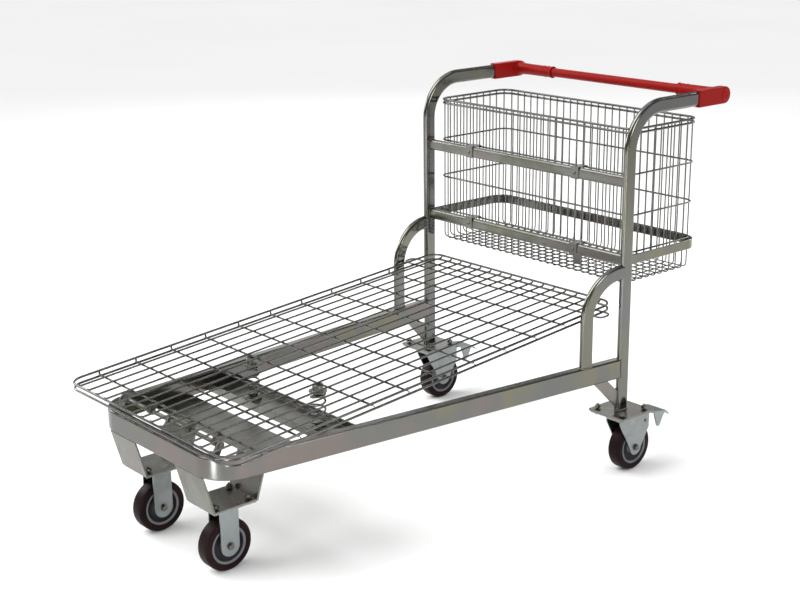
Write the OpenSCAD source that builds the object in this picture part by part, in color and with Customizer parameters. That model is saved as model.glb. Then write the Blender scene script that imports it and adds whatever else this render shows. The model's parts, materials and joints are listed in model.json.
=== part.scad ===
// Nesting flatbed shopping cart: splayed tube frame, sprung wire deck, wire basket, four castors.
// Millimetres. +Y points to the pusher, -Y is the nose, the floor is z = 0, x = 0 is the mirror plane.

/* [Overall] */
// Length over the deck's nose and the handle corners
cart_len = 1568; // [1560:1:1580]
// Distance between the centre lines of the two uprights
upright_span = 736; // [732:1:740]
// Height of the handle's centre line
handle_z = 946; // [936:1:956]
// Distance from the handle's rearmost point forward to the uprights
upright_setback = 377; // [374:1:380]

/* [Base frame] */
// Outer width of the base frame at its nose
nose_w = 500; // [490:1:510]
// Distance from the uprights' front edge to the nose
rail_run = 1149; // [1145:1:1152]
// Height of the base rail above the floor
rail_z = 260; // [256:1:262]
// Height of the base rail's section
rail_h = 51; // [50:1:52]
// Width of the base rail's section
rail_w = 25; // [24:1:26]
// Outer radius of the nose corners
nose_r = 85; // [80:1:90]
// Wall thickness of every tube
tube_wall = 2; // [1.5:0.5:2]

/* [Uprights] */
// Long side of the flat-oval tube
oval_l = 38; // [37:1:38]
// Short side of the flat-oval tube
oval_t = 16; // [15:1:16]
// Bend radius from upright to arm, at the tube's centre
arm_bend_r = 108; // [100:1:112]
// Bend radius of the curved braces, at the tube's centre
brace_bend_r = 109; // [106:1:110]
// Height of the upper cross bar's centre
upper_bar_z = 766; // [762:1:768]
// Height of the lower cross bar's centre
lower_bar_z = 566; // [564:1:567]

/* [Deck] */
// Slope of the empty deck in degrees
deck_slope = 5.1; // [4.9:0.1:5.3]
// Distance between the centres of the deck's side wires
deck_w = 676; // [670:1:678]
// Diameter of the rim wires
rim_d = 6; // [5.5:0.5:6]
// Diameter of the mesh wires
mesh_d = 5; // [4.5:0.5:5]
// Number of long mesh wires
long_count = 16; // [14:1:18]
// Number of evenly spaced cross wires
cross_count = 10; // [9:1:10]
// Spacing of the cross wires
cross_pitch = 103; // [101:1:104]

/* [Basket] */
// Width between the side wires' rings
basket_w = 704; // [698:1:706]
// Depth between the front and rear rings
basket_d = 260; // [256:1:262]
// Height of the basket's top wire
basket_top = 892; // [886:1:894]
// Height of the basket's lowest wires
basket_bottom = 493; // [490:1:498]
// Number of wires that run down the front, under and up the back
basket_long_count = 26; // [24:1:26]
// Number of wires that run down one side, under and up the other
basket_side_count = 10; // [8:1:10]

/* [Castors] */
// Wheel diameter
wheel_d = 125; // [124:1:125]
// Width of the tyre
tyre_w = 38; // [34:1:38]
// Distance between the two front wheels' centres
front_track = 278; // [274:1:282]
// Offset of a rear axle behind its swivel pin
trail = 36; // [34:1:38]

/* [Hidden] */
$fn = 48;
eps = 0.02;

upright_x = upright_span / 2;
upright_y = cart_len / 2 - upright_setback;
front_edge_y = upright_y - oval_l / 2;
rail_outer_x = upright_x + oval_t / 2;
nose_y = front_edge_y - rail_run;
rail_top = rail_z + rail_h;
splay = atan((rail_outer_x - nose_w / 2) / rail_run);
corner_y = nose_y + nose_r;
corner_x = rail_outer_x - (front_edge_y - corner_y) * tan(splay) - nose_r / cos(splay);
corner_steps = 12;
oval_steps = 10;

foot_plate = 116;
foot_plate_t = 6;
castor_plate_t = 4;
castor_top = 162;
foot_z = castor_top + castor_plate_t;
upright_foot = foot_z + foot_plate_t;
arm_len = 340;
bolt_d = 8;
bolt_hole_d = 9;
nut_h = 6.5;
foot_bolt_pitch = 84;
front_bolt_x = 74;
front_bolt_y = 88;

bar_h = 30;
bar_t = 15;
clip_x = 195;
clip_w = 26;
clip_t = 2;
screw_d = 5;
screw_head_d = 9;

hoop_h = 25;
hoop_t = 4;
hoop_r = 48;
hoop_y = upright_y + 291.5;

front_y = upright_y - 1081;
front_x = front_track / 2;
saddle_w = 108;
saddle_l = 118;
sheet = 4;
cross_plate_y = upright_y - 1012;
cross_plate_l = 114;
channel_y = upright_y - 846;
channel_l = 96;
channel_lip = 16;
spring_x = 132;
spring_y = upright_y - 800;
spring_r = 17;
spring_wire = 5;
spring_turns = 4.5;
seat_h = 5;
cap_h = 14;
cap_r = 13;
cap_flange = 3;

hinge_y = upright_y - 1120;
hinge_z = 328;
hinge_rod_d = 10;
hinge_gap = 0.06;
lug_x = 200;
lug_t = 6;
lug_r = 9;
strap_x = [80, 184];
strap_w = 16;
low_w = 12;
cross_w = low_w + (rim_d + mesh_d) / 2 - 0.3;
long_w = cross_w + mesh_d - 0.2;
rim_w = 26;
deck_front = (rim_d / 2 - cart_len / 2 - hinge_y + rim_w * sin(deck_slope)) / cos(deck_slope);
deck_rear = 1117;
deck_corner_r = 35;
first_cross = 14;
stop_mid = 1050;
stop_gap = 36;
stop_reach = 376;

basket_front = upright_y + 25;
ring_wire = 5;
basket_wire = 3.5;
basket_corner_r = 30;
ring_levels = [upper_bar_z + bar_h / 2 - ring_wire / 2, 674, lower_bar_z + bar_h / 2 - ring_wire / 2];
rim_drop = 10;
long_pitch = 25.6;
side_pitch = 26;
wire_bend = 12;

corner_ball_r = 22;
handle_y = cart_len / 2 - corner_ball_r;
handle_d = 22;
grip_d = 25;
collar_d = 32;
collar_end_x = 226;
sleeve_start = 250;
sleeve_wall = 3;

axle_z = wheel_d / 2;
axle_d = 8;
fork_gap = 42;
fork_t = 3;
rim_r = 46;
bearing_r = 13;
bearing_w = 9;
hub_w = 40;
king_d = 12;
crown_r = 32;
crown_z = 149;
pedal_pin_y = 72;
pedal_pin_z = 128;
pedal_pin_d = 6;

// ---- outlines ----

// Points of an arc about c, from angle a0 to a1
function arc(c, r, a0, a1, n) = [for (i = [0:n]) c + r * [cos(a0 + (a1 - a0) * i / n), sin(a0 + (a1 - a0) * i / n)]];
function reversed(p) = [for (i = [len(p) - 1:-1:0]) p[i]];
function mirrored(p) = [for (q = reversed(p)) [-q[0], q[1]]];

// Flat oval with its long side along the first axis
function oval(l, t) = concat(
    arc([(l - t) / 2, 0], t / 2, -90, 90, oval_steps),
    arc([-(l - t) / 2, 0], t / 2, 90, 270, oval_steps));

module oval_tube(l = oval_l, t = oval_t) {
    difference() {
        polygon(oval(l, t));
        polygon(oval(l - 2 * tube_wall, t - 2 * tube_wall));
    }
}

// Plan of one side of the frame at a distance o inside its outer face, from the rear to the nose
function rail_side(o, rear_y) = concat(
    [[rail_outer_x - o / cos(splay) + (rear_y - front_edge_y) * tan(splay), rear_y]],
    arc([corner_x, corner_y], nose_r - o, -splay, -90, corner_steps));
function rail_path(o, rear_y) = concat(rail_side(o, rear_y), mirrored(rail_side(o, rear_y)));

module rail_band(o0, o1, rear_y) {
    polygon(concat(rail_path(o0, rear_y), reversed(rail_path(o1, rear_y))));
}

// Mirrors a child for the left side, s = -1, or leaves it for the right side, s = 1
module side(s) {
    scale([s, 1, 1]) children();
}

// Puts a shape drawn in the Y-Z plane across a thickness t along X, centred on x
module across(x, t) {
    translate([x - t / 2, 0, 0]) rotate([90, 0, 90]) linear_extrude(t) children();
}

module rod_x(x0, x1, y, z, d) {
    translate([x0, y, z]) rotate([0, 90, 0]) cylinder(d = d, h = x1 - x0);
}

module rod_y(y0, y1, x, z, d) {
    translate([x, y0, z]) rotate([-90, 0, 0]) cylinder(d = d, h = y1 - y0);
}

// Round wire bent into a rounded rectangle lying flat, centred on the middle of the rectangle
module wire_ring(w, l, r, d) {
    for (s = [-1, 1]) {
        rod_y(-l / 2 + r, l / 2 - r, s * w / 2, 0, d);
        rod_x(-w / 2 + r, w / 2 - r, s * l / 2, 0, d);
    }
    for (a = [0, 90, 180, 270]) {
        sx = (a == 0 || a == 270) ? 1 : -1;
        sy = a < 180 ? 1 : -1;
        translate([sx * (w / 2 - r), sy * (l / 2 - r), 0]) rotate([0, 0, a])
            rotate_extrude(angle = 90) translate([r, 0]) circle(d = d);
    }
}

// Round wire bent into a U in the X-Z plane: two legs down from the top and a run along the bottom
module wire_u(w, top, bottom, r, d) {
    for (s = [-1, 1])
        translate([s * w / 2, 0, bottom + r]) cylinder(d = d, h = top - bottom - r);
    rod_x(-w / 2 + r, w / 2 - r, 0, bottom, d);
    for (s = [0, 1])
        mirror([s, 0, 0]) translate([w / 2 - r, 0, bottom + r]) rotate([90, 0, 0]) rotate([0, 0, -90])
            rotate_extrude(angle = 90) translate([r, 0]) circle(d = d);
}

module zinc() { color([0.74, 0.75, 0.74]) children(); }
module bright_wire() { color([0.66, 0.66, 0.65]) children(); }
module red_plastic() { color([0.70, 0.11, 0.08]) children(); }

// ---- base frame ----

module base_frame() {
    rear_y = front_edge_y + oval_t / 2;
    zinc() difference() {
        translate([0, 0, rail_z]) linear_extrude(rail_h) rail_band(0, rail_w, rear_y);
        translate([0, 0, rail_z + tube_wall]) linear_extrude(rail_h - 2 * tube_wall)
            rail_band(tube_wall, rail_w - tube_wall, rear_y + 1);
        for (s = [-1, 1]) upright_stock(s, rail_z - 1, rail_top + 1);
    }
}

// The upright's solid outer shape between two heights, used to cope what meets it
module upright_stock(s, z0, z1) {
    translate([s * upright_x, upright_y, z0]) rotate([0, 0, 90])
        linear_extrude(z1 - z0) polygon(oval(oval_l, oval_t));
}

module upright(s) {
    zinc() {
        translate([s * upright_x, upright_y, upright_foot]) rotate([0, 0, 90])
            linear_extrude(handle_z - arm_bend_r - upright_foot) oval_tube();
        translate([s * upright_x, upright_y + arm_bend_r, handle_z - arm_bend_r]) rotate([90, 0, 90])
            rotate([0, 0, 90]) rotate_extrude(angle = 90) translate([arm_bend_r, 0]) oval_tube();
        translate([s * upright_x, upright_y + arm_bend_r, handle_z]) rotate([-90, 0, 0]) rotate([0, 0, 90])
            linear_extrude(arm_len - arm_bend_r) oval_tube();
    }
}

// Local frame of a brace and a gusset: origin on the upright's front edge, u along the rail
module rail_plane(s) {
    translate([s * upright_x, front_edge_y, 0]) rotate([0, 0, -s * splay]) children();
}

module brace(s) {
    top_z = lower_bar_z - bar_h / 2 - oval_l / 2 + 8;
    zinc() difference() {
        rail_plane(s) {
            translate([0, -brace_bend_r, rail_top]) rotate([0, 0, 90])
                linear_extrude(top_z - brace_bend_r - rail_top) oval_tube();
            translate([0, 0, top_z - brace_bend_r]) rotate([90, 0, 90]) rotate([0, 0, 90])
                rotate_extrude(angle = 90) translate([brace_bend_r, 0]) oval_tube();
            translate([0, 0, top_z]) rotate([-90, 0, 0]) rotate([0, 0, 90])
                linear_extrude(oval_t / 2) oval_tube();
        }
        upright_stock(s, top_z - oval_l, top_z + oval_l);
    }
}

module gusset_plate(s) {
    reach = 80;
    width = 45;
    difference() {
        rail_plane(s) across(0, 6)
            polygon([[-reach, rail_z], [-reach + width, rail_z], [6, rail_z - reach + width - 6],
                [6, rail_z - reach - 6]]);
        upright_stock(s, rail_z - reach - 20, rail_z);
    }
}

module gussets() {
    zinc() for (s = [-1, 1]) gusset_plate(s);
}

module foot_plates() {
    zinc() for (s = [-1, 1]) translate([s * upright_x, upright_y, foot_z]) difference() {
        translate([-foot_plate / 2, -foot_plate / 2, 0]) cube([foot_plate, foot_plate, foot_plate_t]);
        for (x = [-1, 1], y = [-1, 1])
            translate([x * foot_bolt_pitch / 2, y * foot_bolt_pitch / 2, -1])
                cylinder(d = bolt_hole_d, h = foot_plate_t + 2);
    }
}

module cross_bar(z) {
    length = 2 * upright_x - oval_t;
    zinc() difference() {
        translate([-length / 2, upright_y, z]) rotate([90, 0, 90]) rotate([0, 0, 90])
            linear_extrude(length) oval_tube(bar_h, bar_t);
        for (s = [-1, 1]) rod_y(upright_y - bar_t, upright_y, s * clip_x, z, screw_d);
    }
}

module basket_hoop() {
    x0 = upright_x + hoop_t / 2;
    outer = concat([[x0, 0]], arc([x0 - hoop_r, hoop_y - upright_y - hoop_r], hoop_r, 0, 90, corner_steps));
    inner = concat([[x0 - hoop_t, 0]],
        arc([x0 - hoop_r, hoop_y - upright_y - hoop_r], hoop_r - hoop_t, 0, 90, corner_steps));
    zinc() difference() {
        translate([0, upright_y, lower_bar_z - hoop_h / 2]) linear_extrude(hoop_h)
            polygon(concat(outer, mirrored(outer), reversed(mirrored(inner)), reversed(inner)));
        for (s = [-1, 1]) upright_stock(s, lower_bar_z - hoop_h, lower_bar_z + hoop_h);
        translate([-upright_x - hoop_t, upright_y - eps, lower_bar_z - hoop_h])
            cube([2 * (upright_x + hoop_t), oval_l / 2 - 4, 2 * hoop_h]);
    }
}

// ---- nose and underframe ----

module saddle_brackets() {
    base_z = castor_top + castor_plate_t;
    base_front = front_y - saddle_l / 2;
    base_rear = front_y + saddle_l / 2;
    nose_foot = nose_y + 2;
    tail_foot = cross_plate_y + 20;
    zinc() for (s = [-1, 1]) difference() {
        across(s * front_x, saddle_w)
            polygon([[base_front, base_z], [nose_foot, rail_z], [nose_foot + sheet, rail_z],
                [base_front + sheet, base_z + sheet], [base_rear - sheet, base_z + sheet],
                [tail_foot - sheet, rail_z], [tail_foot, rail_z], [base_rear, base_z]]);
        for (x = [-1, 1], y = [-1, 1])
            translate([s * front_x + x * front_bolt_x / 2, front_y + y * front_bolt_y / 2, base_z - 1])
                cylinder(d = bolt_hole_d, h = sheet + 2);
    }
}

// A strip between the two side rails
module between_rails(y0, l) {
    intersection() {
        polygon(rail_path(rail_w, front_edge_y));
        translate([-upright_x, y0]) square([2 * upright_x, l]);
    }
}

module front_cross_plate() {
    zinc() translate([0, 0, rail_z]) linear_extrude(sheet) between_rails(cross_plate_y, cross_plate_l);
}

module spring_channel() {
    zinc() {
        translate([0, 0, rail_z]) linear_extrude(sheet) between_rails(channel_y, channel_l);
        for (y = [channel_y, channel_y + channel_l - sheet])
            translate([0, 0, rail_z + sheet]) linear_extrude(channel_lip) between_rails(y, sheet);
    }
}

module spring_seats() {
    zinc() for (s = [-1, 1]) translate([s * spring_x, spring_y, rail_z + sheet]) {
        cylinder(r = spring_r + spring_wire, h = seat_h);
        cylinder(r = spring_r - spring_wire, h = seat_h + 10);
    }
}

module hinge_lugs() {
    inner_y = nose_y + rail_w;
    zinc() for (x = [-lug_x, 0, lug_x]) difference() {
        across(x, lug_t)
            polygon(concat([[inner_y, rail_z + 12], [inner_y, rail_top]],
                arc([hinge_y, hinge_z], lug_r, 120, -70, 12)));
        rod_x(x - lug_t, x + lug_t, hinge_y, hinge_z, hinge_rod_d);
    }
}

module hinge_rod() {
    zinc() rod_x(-lug_x - lug_t, lug_x + lug_t, hinge_y, hinge_z, hinge_rod_d);
}

// ---- handle ----

module handle_corner(s) {
    sleeve_l = oval_l + 2 * sleeve_wall;
    sleeve_t = oval_t + 2 * sleeve_wall;
    red_plastic() difference() {
        union() {
            translate([s * upright_x, upright_y + sleeve_start, handle_z]) rotate([-90, 0, 0]) rotate([0, 0, 90])
                linear_extrude(handle_y - upright_y - sleeve_start - 10) polygon(oval(sleeve_l, sleeve_t));
            side(s) rod_x(collar_end_x, upright_x - 20, handle_y, handle_z, collar_d);
            hull() {
                translate([s * upright_x, handle_y, handle_z]) sphere(r = corner_ball_r, $fn = 32);
                translate([s * upright_x, handle_y - 34, handle_z]) rotate([-90, 0, 0]) rotate([0, 0, 90])
                    linear_extrude(2) polygon(oval(sleeve_l + 1.6, sleeve_t + 1.6));
                side(s) rod_x(upright_x - 44, upright_x - 42, handle_y, handle_z, collar_d + 1.6, $fn = 32);
            }
        }
        translate([s * upright_x, upright_y + sleeve_start - 1, handle_z]) rotate([-90, 0, 0]) rotate([0, 0, 90])
            linear_extrude(arm_len - sleeve_start + 1) polygon(oval(oval_l, oval_t));
        side(s) rod_x(collar_end_x - 1, upright_x - 24, handle_y, handle_z, handle_d);
    }
}

module handle_bar() {
    reach = upright_x - 24;
    zinc() difference() {
        rod_x(-reach, reach, handle_y, handle_z, handle_d);
        rod_x(-reach - 1, reach + 1, handle_y, handle_z, handle_d - 2 * tube_wall);
    }
}

module handle_grip() {
    red_plastic() difference() {
        rod_x(-collar_end_x, collar_end_x, handle_y, handle_z, grip_d);
        rod_x(-collar_end_x - 1, collar_end_x + 1, handle_y, handle_z, handle_d);
    }
}

// ---- basket ----

module basket_ring(z, d) {
    translate([0, basket_front + basket_d / 2, z]) wire_ring(basket_w, basket_d, basket_corner_r, d);
}

module basket_rim() {
    bright_wire() for (z = [basket_top, basket_top - rim_drop]) basket_ring(z, rim_d);
}

module basket_rings() {
    bright_wire() for (z = ring_levels) basket_ring(z, ring_wire);
}

// How far a wire at distance x from the middle stands inside a ring's straight side of half width w
function corner_inset(x, w) = let(past = abs(x) - (w - basket_corner_r))
    past > 0 ? basket_corner_r - sqrt(basket_corner_r ^ 2 - past ^ 2) : 0;
wire_inset = (ring_wire + basket_wire) / 2 - 0.3;

module basket_long_wires() {
    bright_wire() for (i = [0:basket_long_count - 1]) {
        x = (i - (basket_long_count - 1) / 2) * long_pitch;
        inset = wire_inset + corner_inset(x, basket_w / 2);
        translate([x, basket_front + basket_d / 2, 0]) rotate([0, 0, 90])
            wire_u(basket_d - 2 * inset, basket_top, basket_bottom, wire_bend, basket_wire);
    }
}

module basket_side_wires() {
    bright_wire() for (i = [0:basket_side_count - 1]) {
        y = (i - (basket_side_count - 1) / 2) * side_pitch;
        inset = wire_inset + corner_inset(y, basket_d / 2);
        translate([0, basket_front + basket_d / 2 + y, 0])
            wire_u(basket_w - 2 * inset, basket_top, basket_bottom + basket_wire - 0.3, wire_bend, basket_wire);
    }
}

// A folded strap screwed to a cross bar's front, reaching back over it to the basket's ring
module clip(x, z, tab) {
    face_y = upright_y - bar_t / 2;
    difference() {
        union() {
            translate([x - clip_w / 2, face_y - clip_t, z - bar_h / 2]) cube([clip_w, clip_t, bar_h]);
            translate([x - clip_w / 2, face_y - clip_t, z + bar_h / 2])
                cube([clip_w, basket_front + 2 - face_y + clip_t, clip_t]);
            if (tab) translate([x + 8, face_y - clip_t, z - bar_h / 2 - 22]) cube([22, clip_t, 30]);
        }
        rod_y(face_y - clip_t - 1, face_y + 1, x, z, screw_d);
    }
}

module basket_clips() {
    zinc() for (z = [upper_bar_z, lower_bar_z], s = [-1, 1])
        clip(s * clip_x, z, s == 1 && z == lower_bar_z);
}

module clip_screws() {
    face_y = upright_y - bar_t / 2 - clip_t;
    color("silver") for (z = [upper_bar_z, lower_bar_z], s = [-1, 1]) {
        rod_y(face_y - 3, face_y, s * clip_x, z, screw_head_d);
        rod_y(face_y - eps, face_y + 10, s * clip_x, z, screw_d);
    }
}

// ---- castors ----

module plate_with_holes(w, l, t, px, py) {
    difference() {
        translate([-w / 2, -l / 2, 0]) cube([w, l, t]);
        for (x = [-1, 1], y = [-1, 1])
            translate([x * px / 2, y * py / 2, -1]) cylinder(d = bolt_hole_d, h = t + 2);
    }
}

module front_castor_plates() {
    zinc() for (s = [-1, 1]) translate([s * front_x, front_y, castor_top])
        plate_with_holes(saddle_w - 6, saddle_l - 6, castor_plate_t, front_bolt_x, front_bolt_y);
}

module rear_castor_plates() {
    zinc() for (s = [-1, 1]) translate([s * upright_x, upright_y, castor_top]) difference() {
        union() {
            plate_with_holes(foot_plate - 6, foot_plate - 6, castor_plate_t, foot_bolt_pitch, foot_bolt_pitch);
            translate([0, 0, -5]) cylinder(r = crown_r - 2, h = 5 + eps);
        }
        translate([0, 0, -6]) cylinder(d = king_d, h = castor_plate_t + 7);
    }
}

module king_pins() {
    zinc() for (s = [-1, 1]) translate([s * upright_x, upright_y, 0]) {
        translate([0, 0, crown_z - 6]) cylinder(d = king_d, h = foot_z - crown_z + 6);
        translate([0, 0, crown_z - 12]) cylinder(d = king_d + 8, h = 6, $fn = 6);
    }
}

// Outline of a fork leg in the Y-Z plane, from its shoulders to a round foot about the axle
function leg(y_axle, y_front, y_rear, z_top, r) = concat(
    arc([y_axle, axle_z], r, -170, -10, 12),
    [[y_rear, z_top - 40], [y_rear, z_top], [y_front, z_top], [y_front, z_top - 10]]);

module fork_shell(y_axle, y_front, y_rear, z_top, r) {
    difference() {
        across(0, fork_gap + 2 * fork_t) polygon(leg(y_axle, y_front, y_rear, z_top, r));
        translate([-fork_gap / 2, y_axle - 200, 0]) cube([fork_gap, 400, z_top - fork_t]);
        rod_x(-fork_gap, fork_gap, y_axle, axle_z, axle_d);
    }
}

module front_forks() {
    zinc() for (s = [-1, 1]) translate([s * front_x, front_y, 0]) fork_shell(0, -25, 25, castor_top, 25);
}

module fork_rear(s) {
    zinc() translate([s * upright_x, upright_y, 0]) difference() {
        union() {
            fork_shell(trail, -28, pedal_pin_y + 14, crown_z, 21);
            translate([0, 0, crown_z - eps]) cylinder(r = crown_r, h = 7);
        }
        translate([0, 0, crown_z - 10]) cylinder(d = king_d + 2 * hinge_gap, h = 20);
        rod_x(-fork_gap, fork_gap, pedal_pin_y, pedal_pin_z, pedal_pin_d);
        translate([-fork_gap / 2, crown_r + 18, 0]) cube([fork_gap, 100, crown_z + 1]);
    }
}

module axle(y) {
    reach = fork_gap / 2 + fork_t;
    rod_x(-reach - 8, reach, y, axle_z, axle_d);
    rod_x(reach, reach + 5.5, y, axle_z, 15, $fn = 6);
    rod_x(-reach - 6.5, -reach, y, axle_z, 15, $fn = 6);
}

module front_axles() {
    color("silver") for (s = [-1, 1]) translate([s * front_x, front_y, 0]) side(s) axle(0);
}

module axle_rear(s) {
    color("silver") translate([s * upright_x, upright_y, 0]) side(s) {
        axle(trail);
        rod_x(-fork_gap / 2 - fork_t - 1, fork_gap / 2 + fork_t + 1, pedal_pin_y, pedal_pin_z, pedal_pin_d);
    }
}

// Centres of the sixteen castor bolts
function bolt_places() = concat(
    [for (s = [-1, 1], x = [-1, 1], y = [-1, 1])
        [s * front_x + x * front_bolt_x / 2, front_y + y * front_bolt_y / 2, foot_z + sheet]],
    [for (s = [-1, 1], x = [-1, 1], y = [-1, 1])
        [s * upright_x + x * foot_bolt_pitch / 2, upright_y + y * foot_bolt_pitch / 2, foot_z + foot_plate_t]]);

module castor_bolts() {
    head_h = 5;
    past_nut = 7;
    color("silver") for (p = bolt_places()) translate([p[0], p[1], castor_top - head_h]) {
        cylinder(d = 14, h = head_h, $fn = 6);
        translate([0, 0, head_h - eps]) cylinder(d = bolt_d, h = p[2] + nut_h + past_nut - castor_top + eps);
    }
}

module castor_nuts() {
    color("silver") for (p = bolt_places()) translate(p) difference() {
        cylinder(d = 14, h = nut_h, $fn = 6);
        translate([0, 0, -1]) cylinder(d = bolt_d, h = nut_h + 2);
    }
}

// Moves a wheel drawn about the Z axis to a castor's axle
module at_axle(x, y) {
    translate([x, y, axle_z]) rotate([0, 90, 0]) children();
}

module tyre(x, y) {
    r = wheel_d / 2;
    edge = 6;
    color([0.14, 0.07, 0.07]) at_axle(x, y) rotate_extrude($fn = 96) polygon(concat(
        [[rim_r, -tyre_w / 2], [r - edge, -tyre_w / 2]],
        arc([r - edge, -tyre_w / 2 + edge], edge, -90, 0, 5),
        arc([r - edge, tyre_w / 2 - edge], edge, 0, 90, 5),
        [[rim_r, tyre_w / 2]]));
}

module core(x, y) {
    web = 5;
    rim_half = tyre_w / 2 - 1;
    color([0.5, 0.5, 0.52]) at_axle(x, y) rotate_extrude($fn = 96)
        polygon([[bearing_r, -hub_w / 2], [bearing_r + 5, -hub_w / 2], [bearing_r + 6, -web], [rim_r - 7, -web],
            [rim_r - 5, -rim_half], [rim_r, -rim_half], [rim_r, rim_half], [rim_r - 5, rim_half],
            [rim_r - 7, web], [bearing_r + 6, web], [bearing_r + 5, hub_w / 2], [bearing_r, hub_w / 2]]);
}

module bearings(x, y) {
    color("silver") at_axle(x, y) for (s = [-1, 1])
        translate([0, 0, s * (hub_w - bearing_w) / 2 - bearing_w / 2]) difference() {
            cylinder(r = bearing_r, h = bearing_w);
            translate([0, 0, -1]) cylinder(d = axle_d + 2 * hinge_gap, h = bearing_w + 2);
        }
}

// Side outlines of the pedal's parts in the Y-Z plane
pedal_root = [[64, 147], [64, 150], [96, 147.6], [96, 144.6]];
pedal_tread = [[88, 148.2], [147, 139], [160, 127], [158, 124.6], [145.5, 136], [88, 145.2]];
root_cheek = [[64.5, 148.5], [64.5, 126], [68, 122], [78, 122], [94, 145.5]];
tread_cheek = concat([[98, 144.5]], arc([118, 108], 7, 200, 340, 8), [[142, 138]]);

module pedal(s) {
    root_half = fork_gap / 2 - 1;
    tread_half = 30;
    plate = 3;
    zinc() translate([s * upright_x, upright_y, 0]) difference() {
        union() {
            across(0, 2 * root_half) polygon(pedal_root);
            across(0, 2 * tread_half) polygon(pedal_tread);
            for (x = [-1, 1]) {
                across(x * (root_half - plate / 2), plate) polygon(root_cheek);
                across(x * (tread_half - plate / 2), plate) polygon(tread_cheek);
            }
        }
        rod_x(-tread_half, tread_half, pedal_pin_y, pedal_pin_z, pedal_pin_d + 2 * hinge_gap);
    }
}

// ---- deck ----

// Deck frame: origin on the hinge axis, Y up the slope, Z square to the mesh
module deck_space() {
    translate([0, hinge_y, hinge_z]) rotate([deck_slope, 0, 0]) children();
}

module deck_ring(w) {
    length = deck_rear - deck_front;
    bright_wire() deck_space() translate([0, deck_front + length / 2, w])
        wire_ring(deck_w, length, deck_corner_r, rim_d);
}

module deck_rim() {
    deck_ring(rim_w);
}

module deck_side_wire() {
    deck_ring(low_w);
}

module deck_long_wires() {
    pitch = deck_w / (long_count + 1);
    bright_wire() deck_space() for (i = [1:long_count])
        rod_y(deck_front, deck_rear, i * pitch - deck_w / 2, long_w, mesh_d);
}

module deck_cross_wires() {
    bright_wire() deck_space() for (k = [0:cross_count - 1]) translate([0, first_cross + k * cross_pitch, 0]) {
        rod_x(-deck_w / 2 - mesh_d / 2, deck_w / 2 + mesh_d / 2, 0, cross_w, mesh_d);
        for (s = [-1, 1])
            translate([s * deck_w / 2, 0, cross_w]) cylinder(d = mesh_d - 0.6, h = rim_w - cross_w - 1);
    }
}

// A closed loop whose two ends stick out past the deck's sides behind the braces
module deck_stop_wire() {
    bright_wire() deck_space() translate([0, stop_mid, cross_w])
        wire_ring(2 * stop_reach - mesh_d, stop_gap, stop_gap / 2 - 2, mesh_d);
}

module hinge_straps() {
    wrap_r = hinge_rod_d / 2 + 3;
    zinc() deck_space() for (s = [-1, 1], x = strap_x) difference() {
        across(s * x, strap_w)
            polygon(concat(arc([0, 0], wrap_r, 150, 380, 16), [[first_cross + 6, cross_w - 4],
                [first_cross + 6, cross_w - mesh_d / 2 + 0.2], [0, cross_w - mesh_d / 2 + 0.2]]));
        rod_x(s * x - strap_w, s * x + strap_w, 0, 0, hinge_rod_d + 2 * hinge_gap);
    }
}

// Height of a point in the deck's own frame above the floor
function deck_height(v, w) = hinge_z + v * sin(deck_slope) + w * cos(deck_slope);
function spring_v() = (spring_y - hinge_y) / cos(deck_slope);
cap_top_w = cross_w - mesh_d / 2;
spring_top = deck_height(spring_v(), cap_top_w) - cap_h - 4;
spring_foot = rail_z + sheet + seat_h;

module spring_caps() {
    zinc() for (s = [-1, 1]) difference() {
        union() {
            translate([s * spring_x, spring_y, spring_top])
                cylinder(r = spring_r + spring_wire, h = cap_flange);
            translate([s * spring_x, spring_y, spring_top]) cylinder(r = cap_r, h = cap_h + 8);
            translate([s * spring_x, spring_y, spring_top - 8]) cylinder(r = spring_r - spring_wire, h = 9);
        }
        deck_space() translate([s * spring_x, spring_v(), cap_top_w + 0.2]) translate([-40, -40, 0])
            cube([80, 80, 40]);
    }
}

// Points of one ring of the coil's wire at turn t of n, in the spring's own frame
function coil_ring(t, n, h, sides) = [for (j = [0:sides - 1])
    let(a = 360 * spring_turns * t / n, b = 360 * j / sides, r = spring_r + spring_wire / 2 * cos(b))
    [r * cos(a), r * sin(a), spring_wire / 2 + (h - spring_wire) * t / n + spring_wire / 2 * sin(b)]];

module coil(h) {
    n = 72;
    sides = 8;
    points = [for (t = [0:n]) each coil_ring(t, n, h, sides)];
    skin = [for (t = [0:n - 1], j = [0:sides - 1], f = [0, 1])
        let(a = t * sides + j, b = t * sides + (j + 1) % sides)
        f == 0 ? [a, a + sides, b] : [b, a + sides, b + sides]];
    ends = [[for (j = [0:sides - 1]) j], [for (j = [sides - 1:-1:0]) n * sides + j]];
    polyhedron(points, concat(skin, ends));
}

module deck_springs() {
    color([0.35, 0.35, 0.36]) for (s = [-1, 1]) translate([s * spring_x, spring_y, spring_foot])
        coil(spring_top - spring_foot);
}

base_frame();
upright(-1);  // upright_left
upright(1);  // upright_right
brace(-1);  // brace_left
brace(1);  // brace_right
gussets();
foot_plates();
cross_bar(upper_bar_z);  // upper_cross_bar
cross_bar(lower_bar_z);  // lower_cross_bar
basket_hoop();
saddle_brackets();
front_cross_plate();
spring_channel();
spring_seats();
hinge_lugs();
hinge_rod();
handle_corner(-1);  // handle_corner_left
handle_corner(1);  // handle_corner_right
handle_bar();
handle_grip();
basket_rim();
basket_rings();
basket_long_wires();
basket_side_wires();
basket_clips();
clip_screws();
front_castor_plates();
front_forks();
front_axles();
castor_bolts();
castor_nuts();
rear_castor_plates();
king_pins();
deck_rim();
deck_side_wire();
deck_long_wires();
deck_cross_wires();
deck_stop_wire();
hinge_straps();
spring_caps();
deck_springs();
tyre(-front_x, front_y);  // tyre_front_left
tyre(front_x, front_y);  // tyre_front_right
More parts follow.
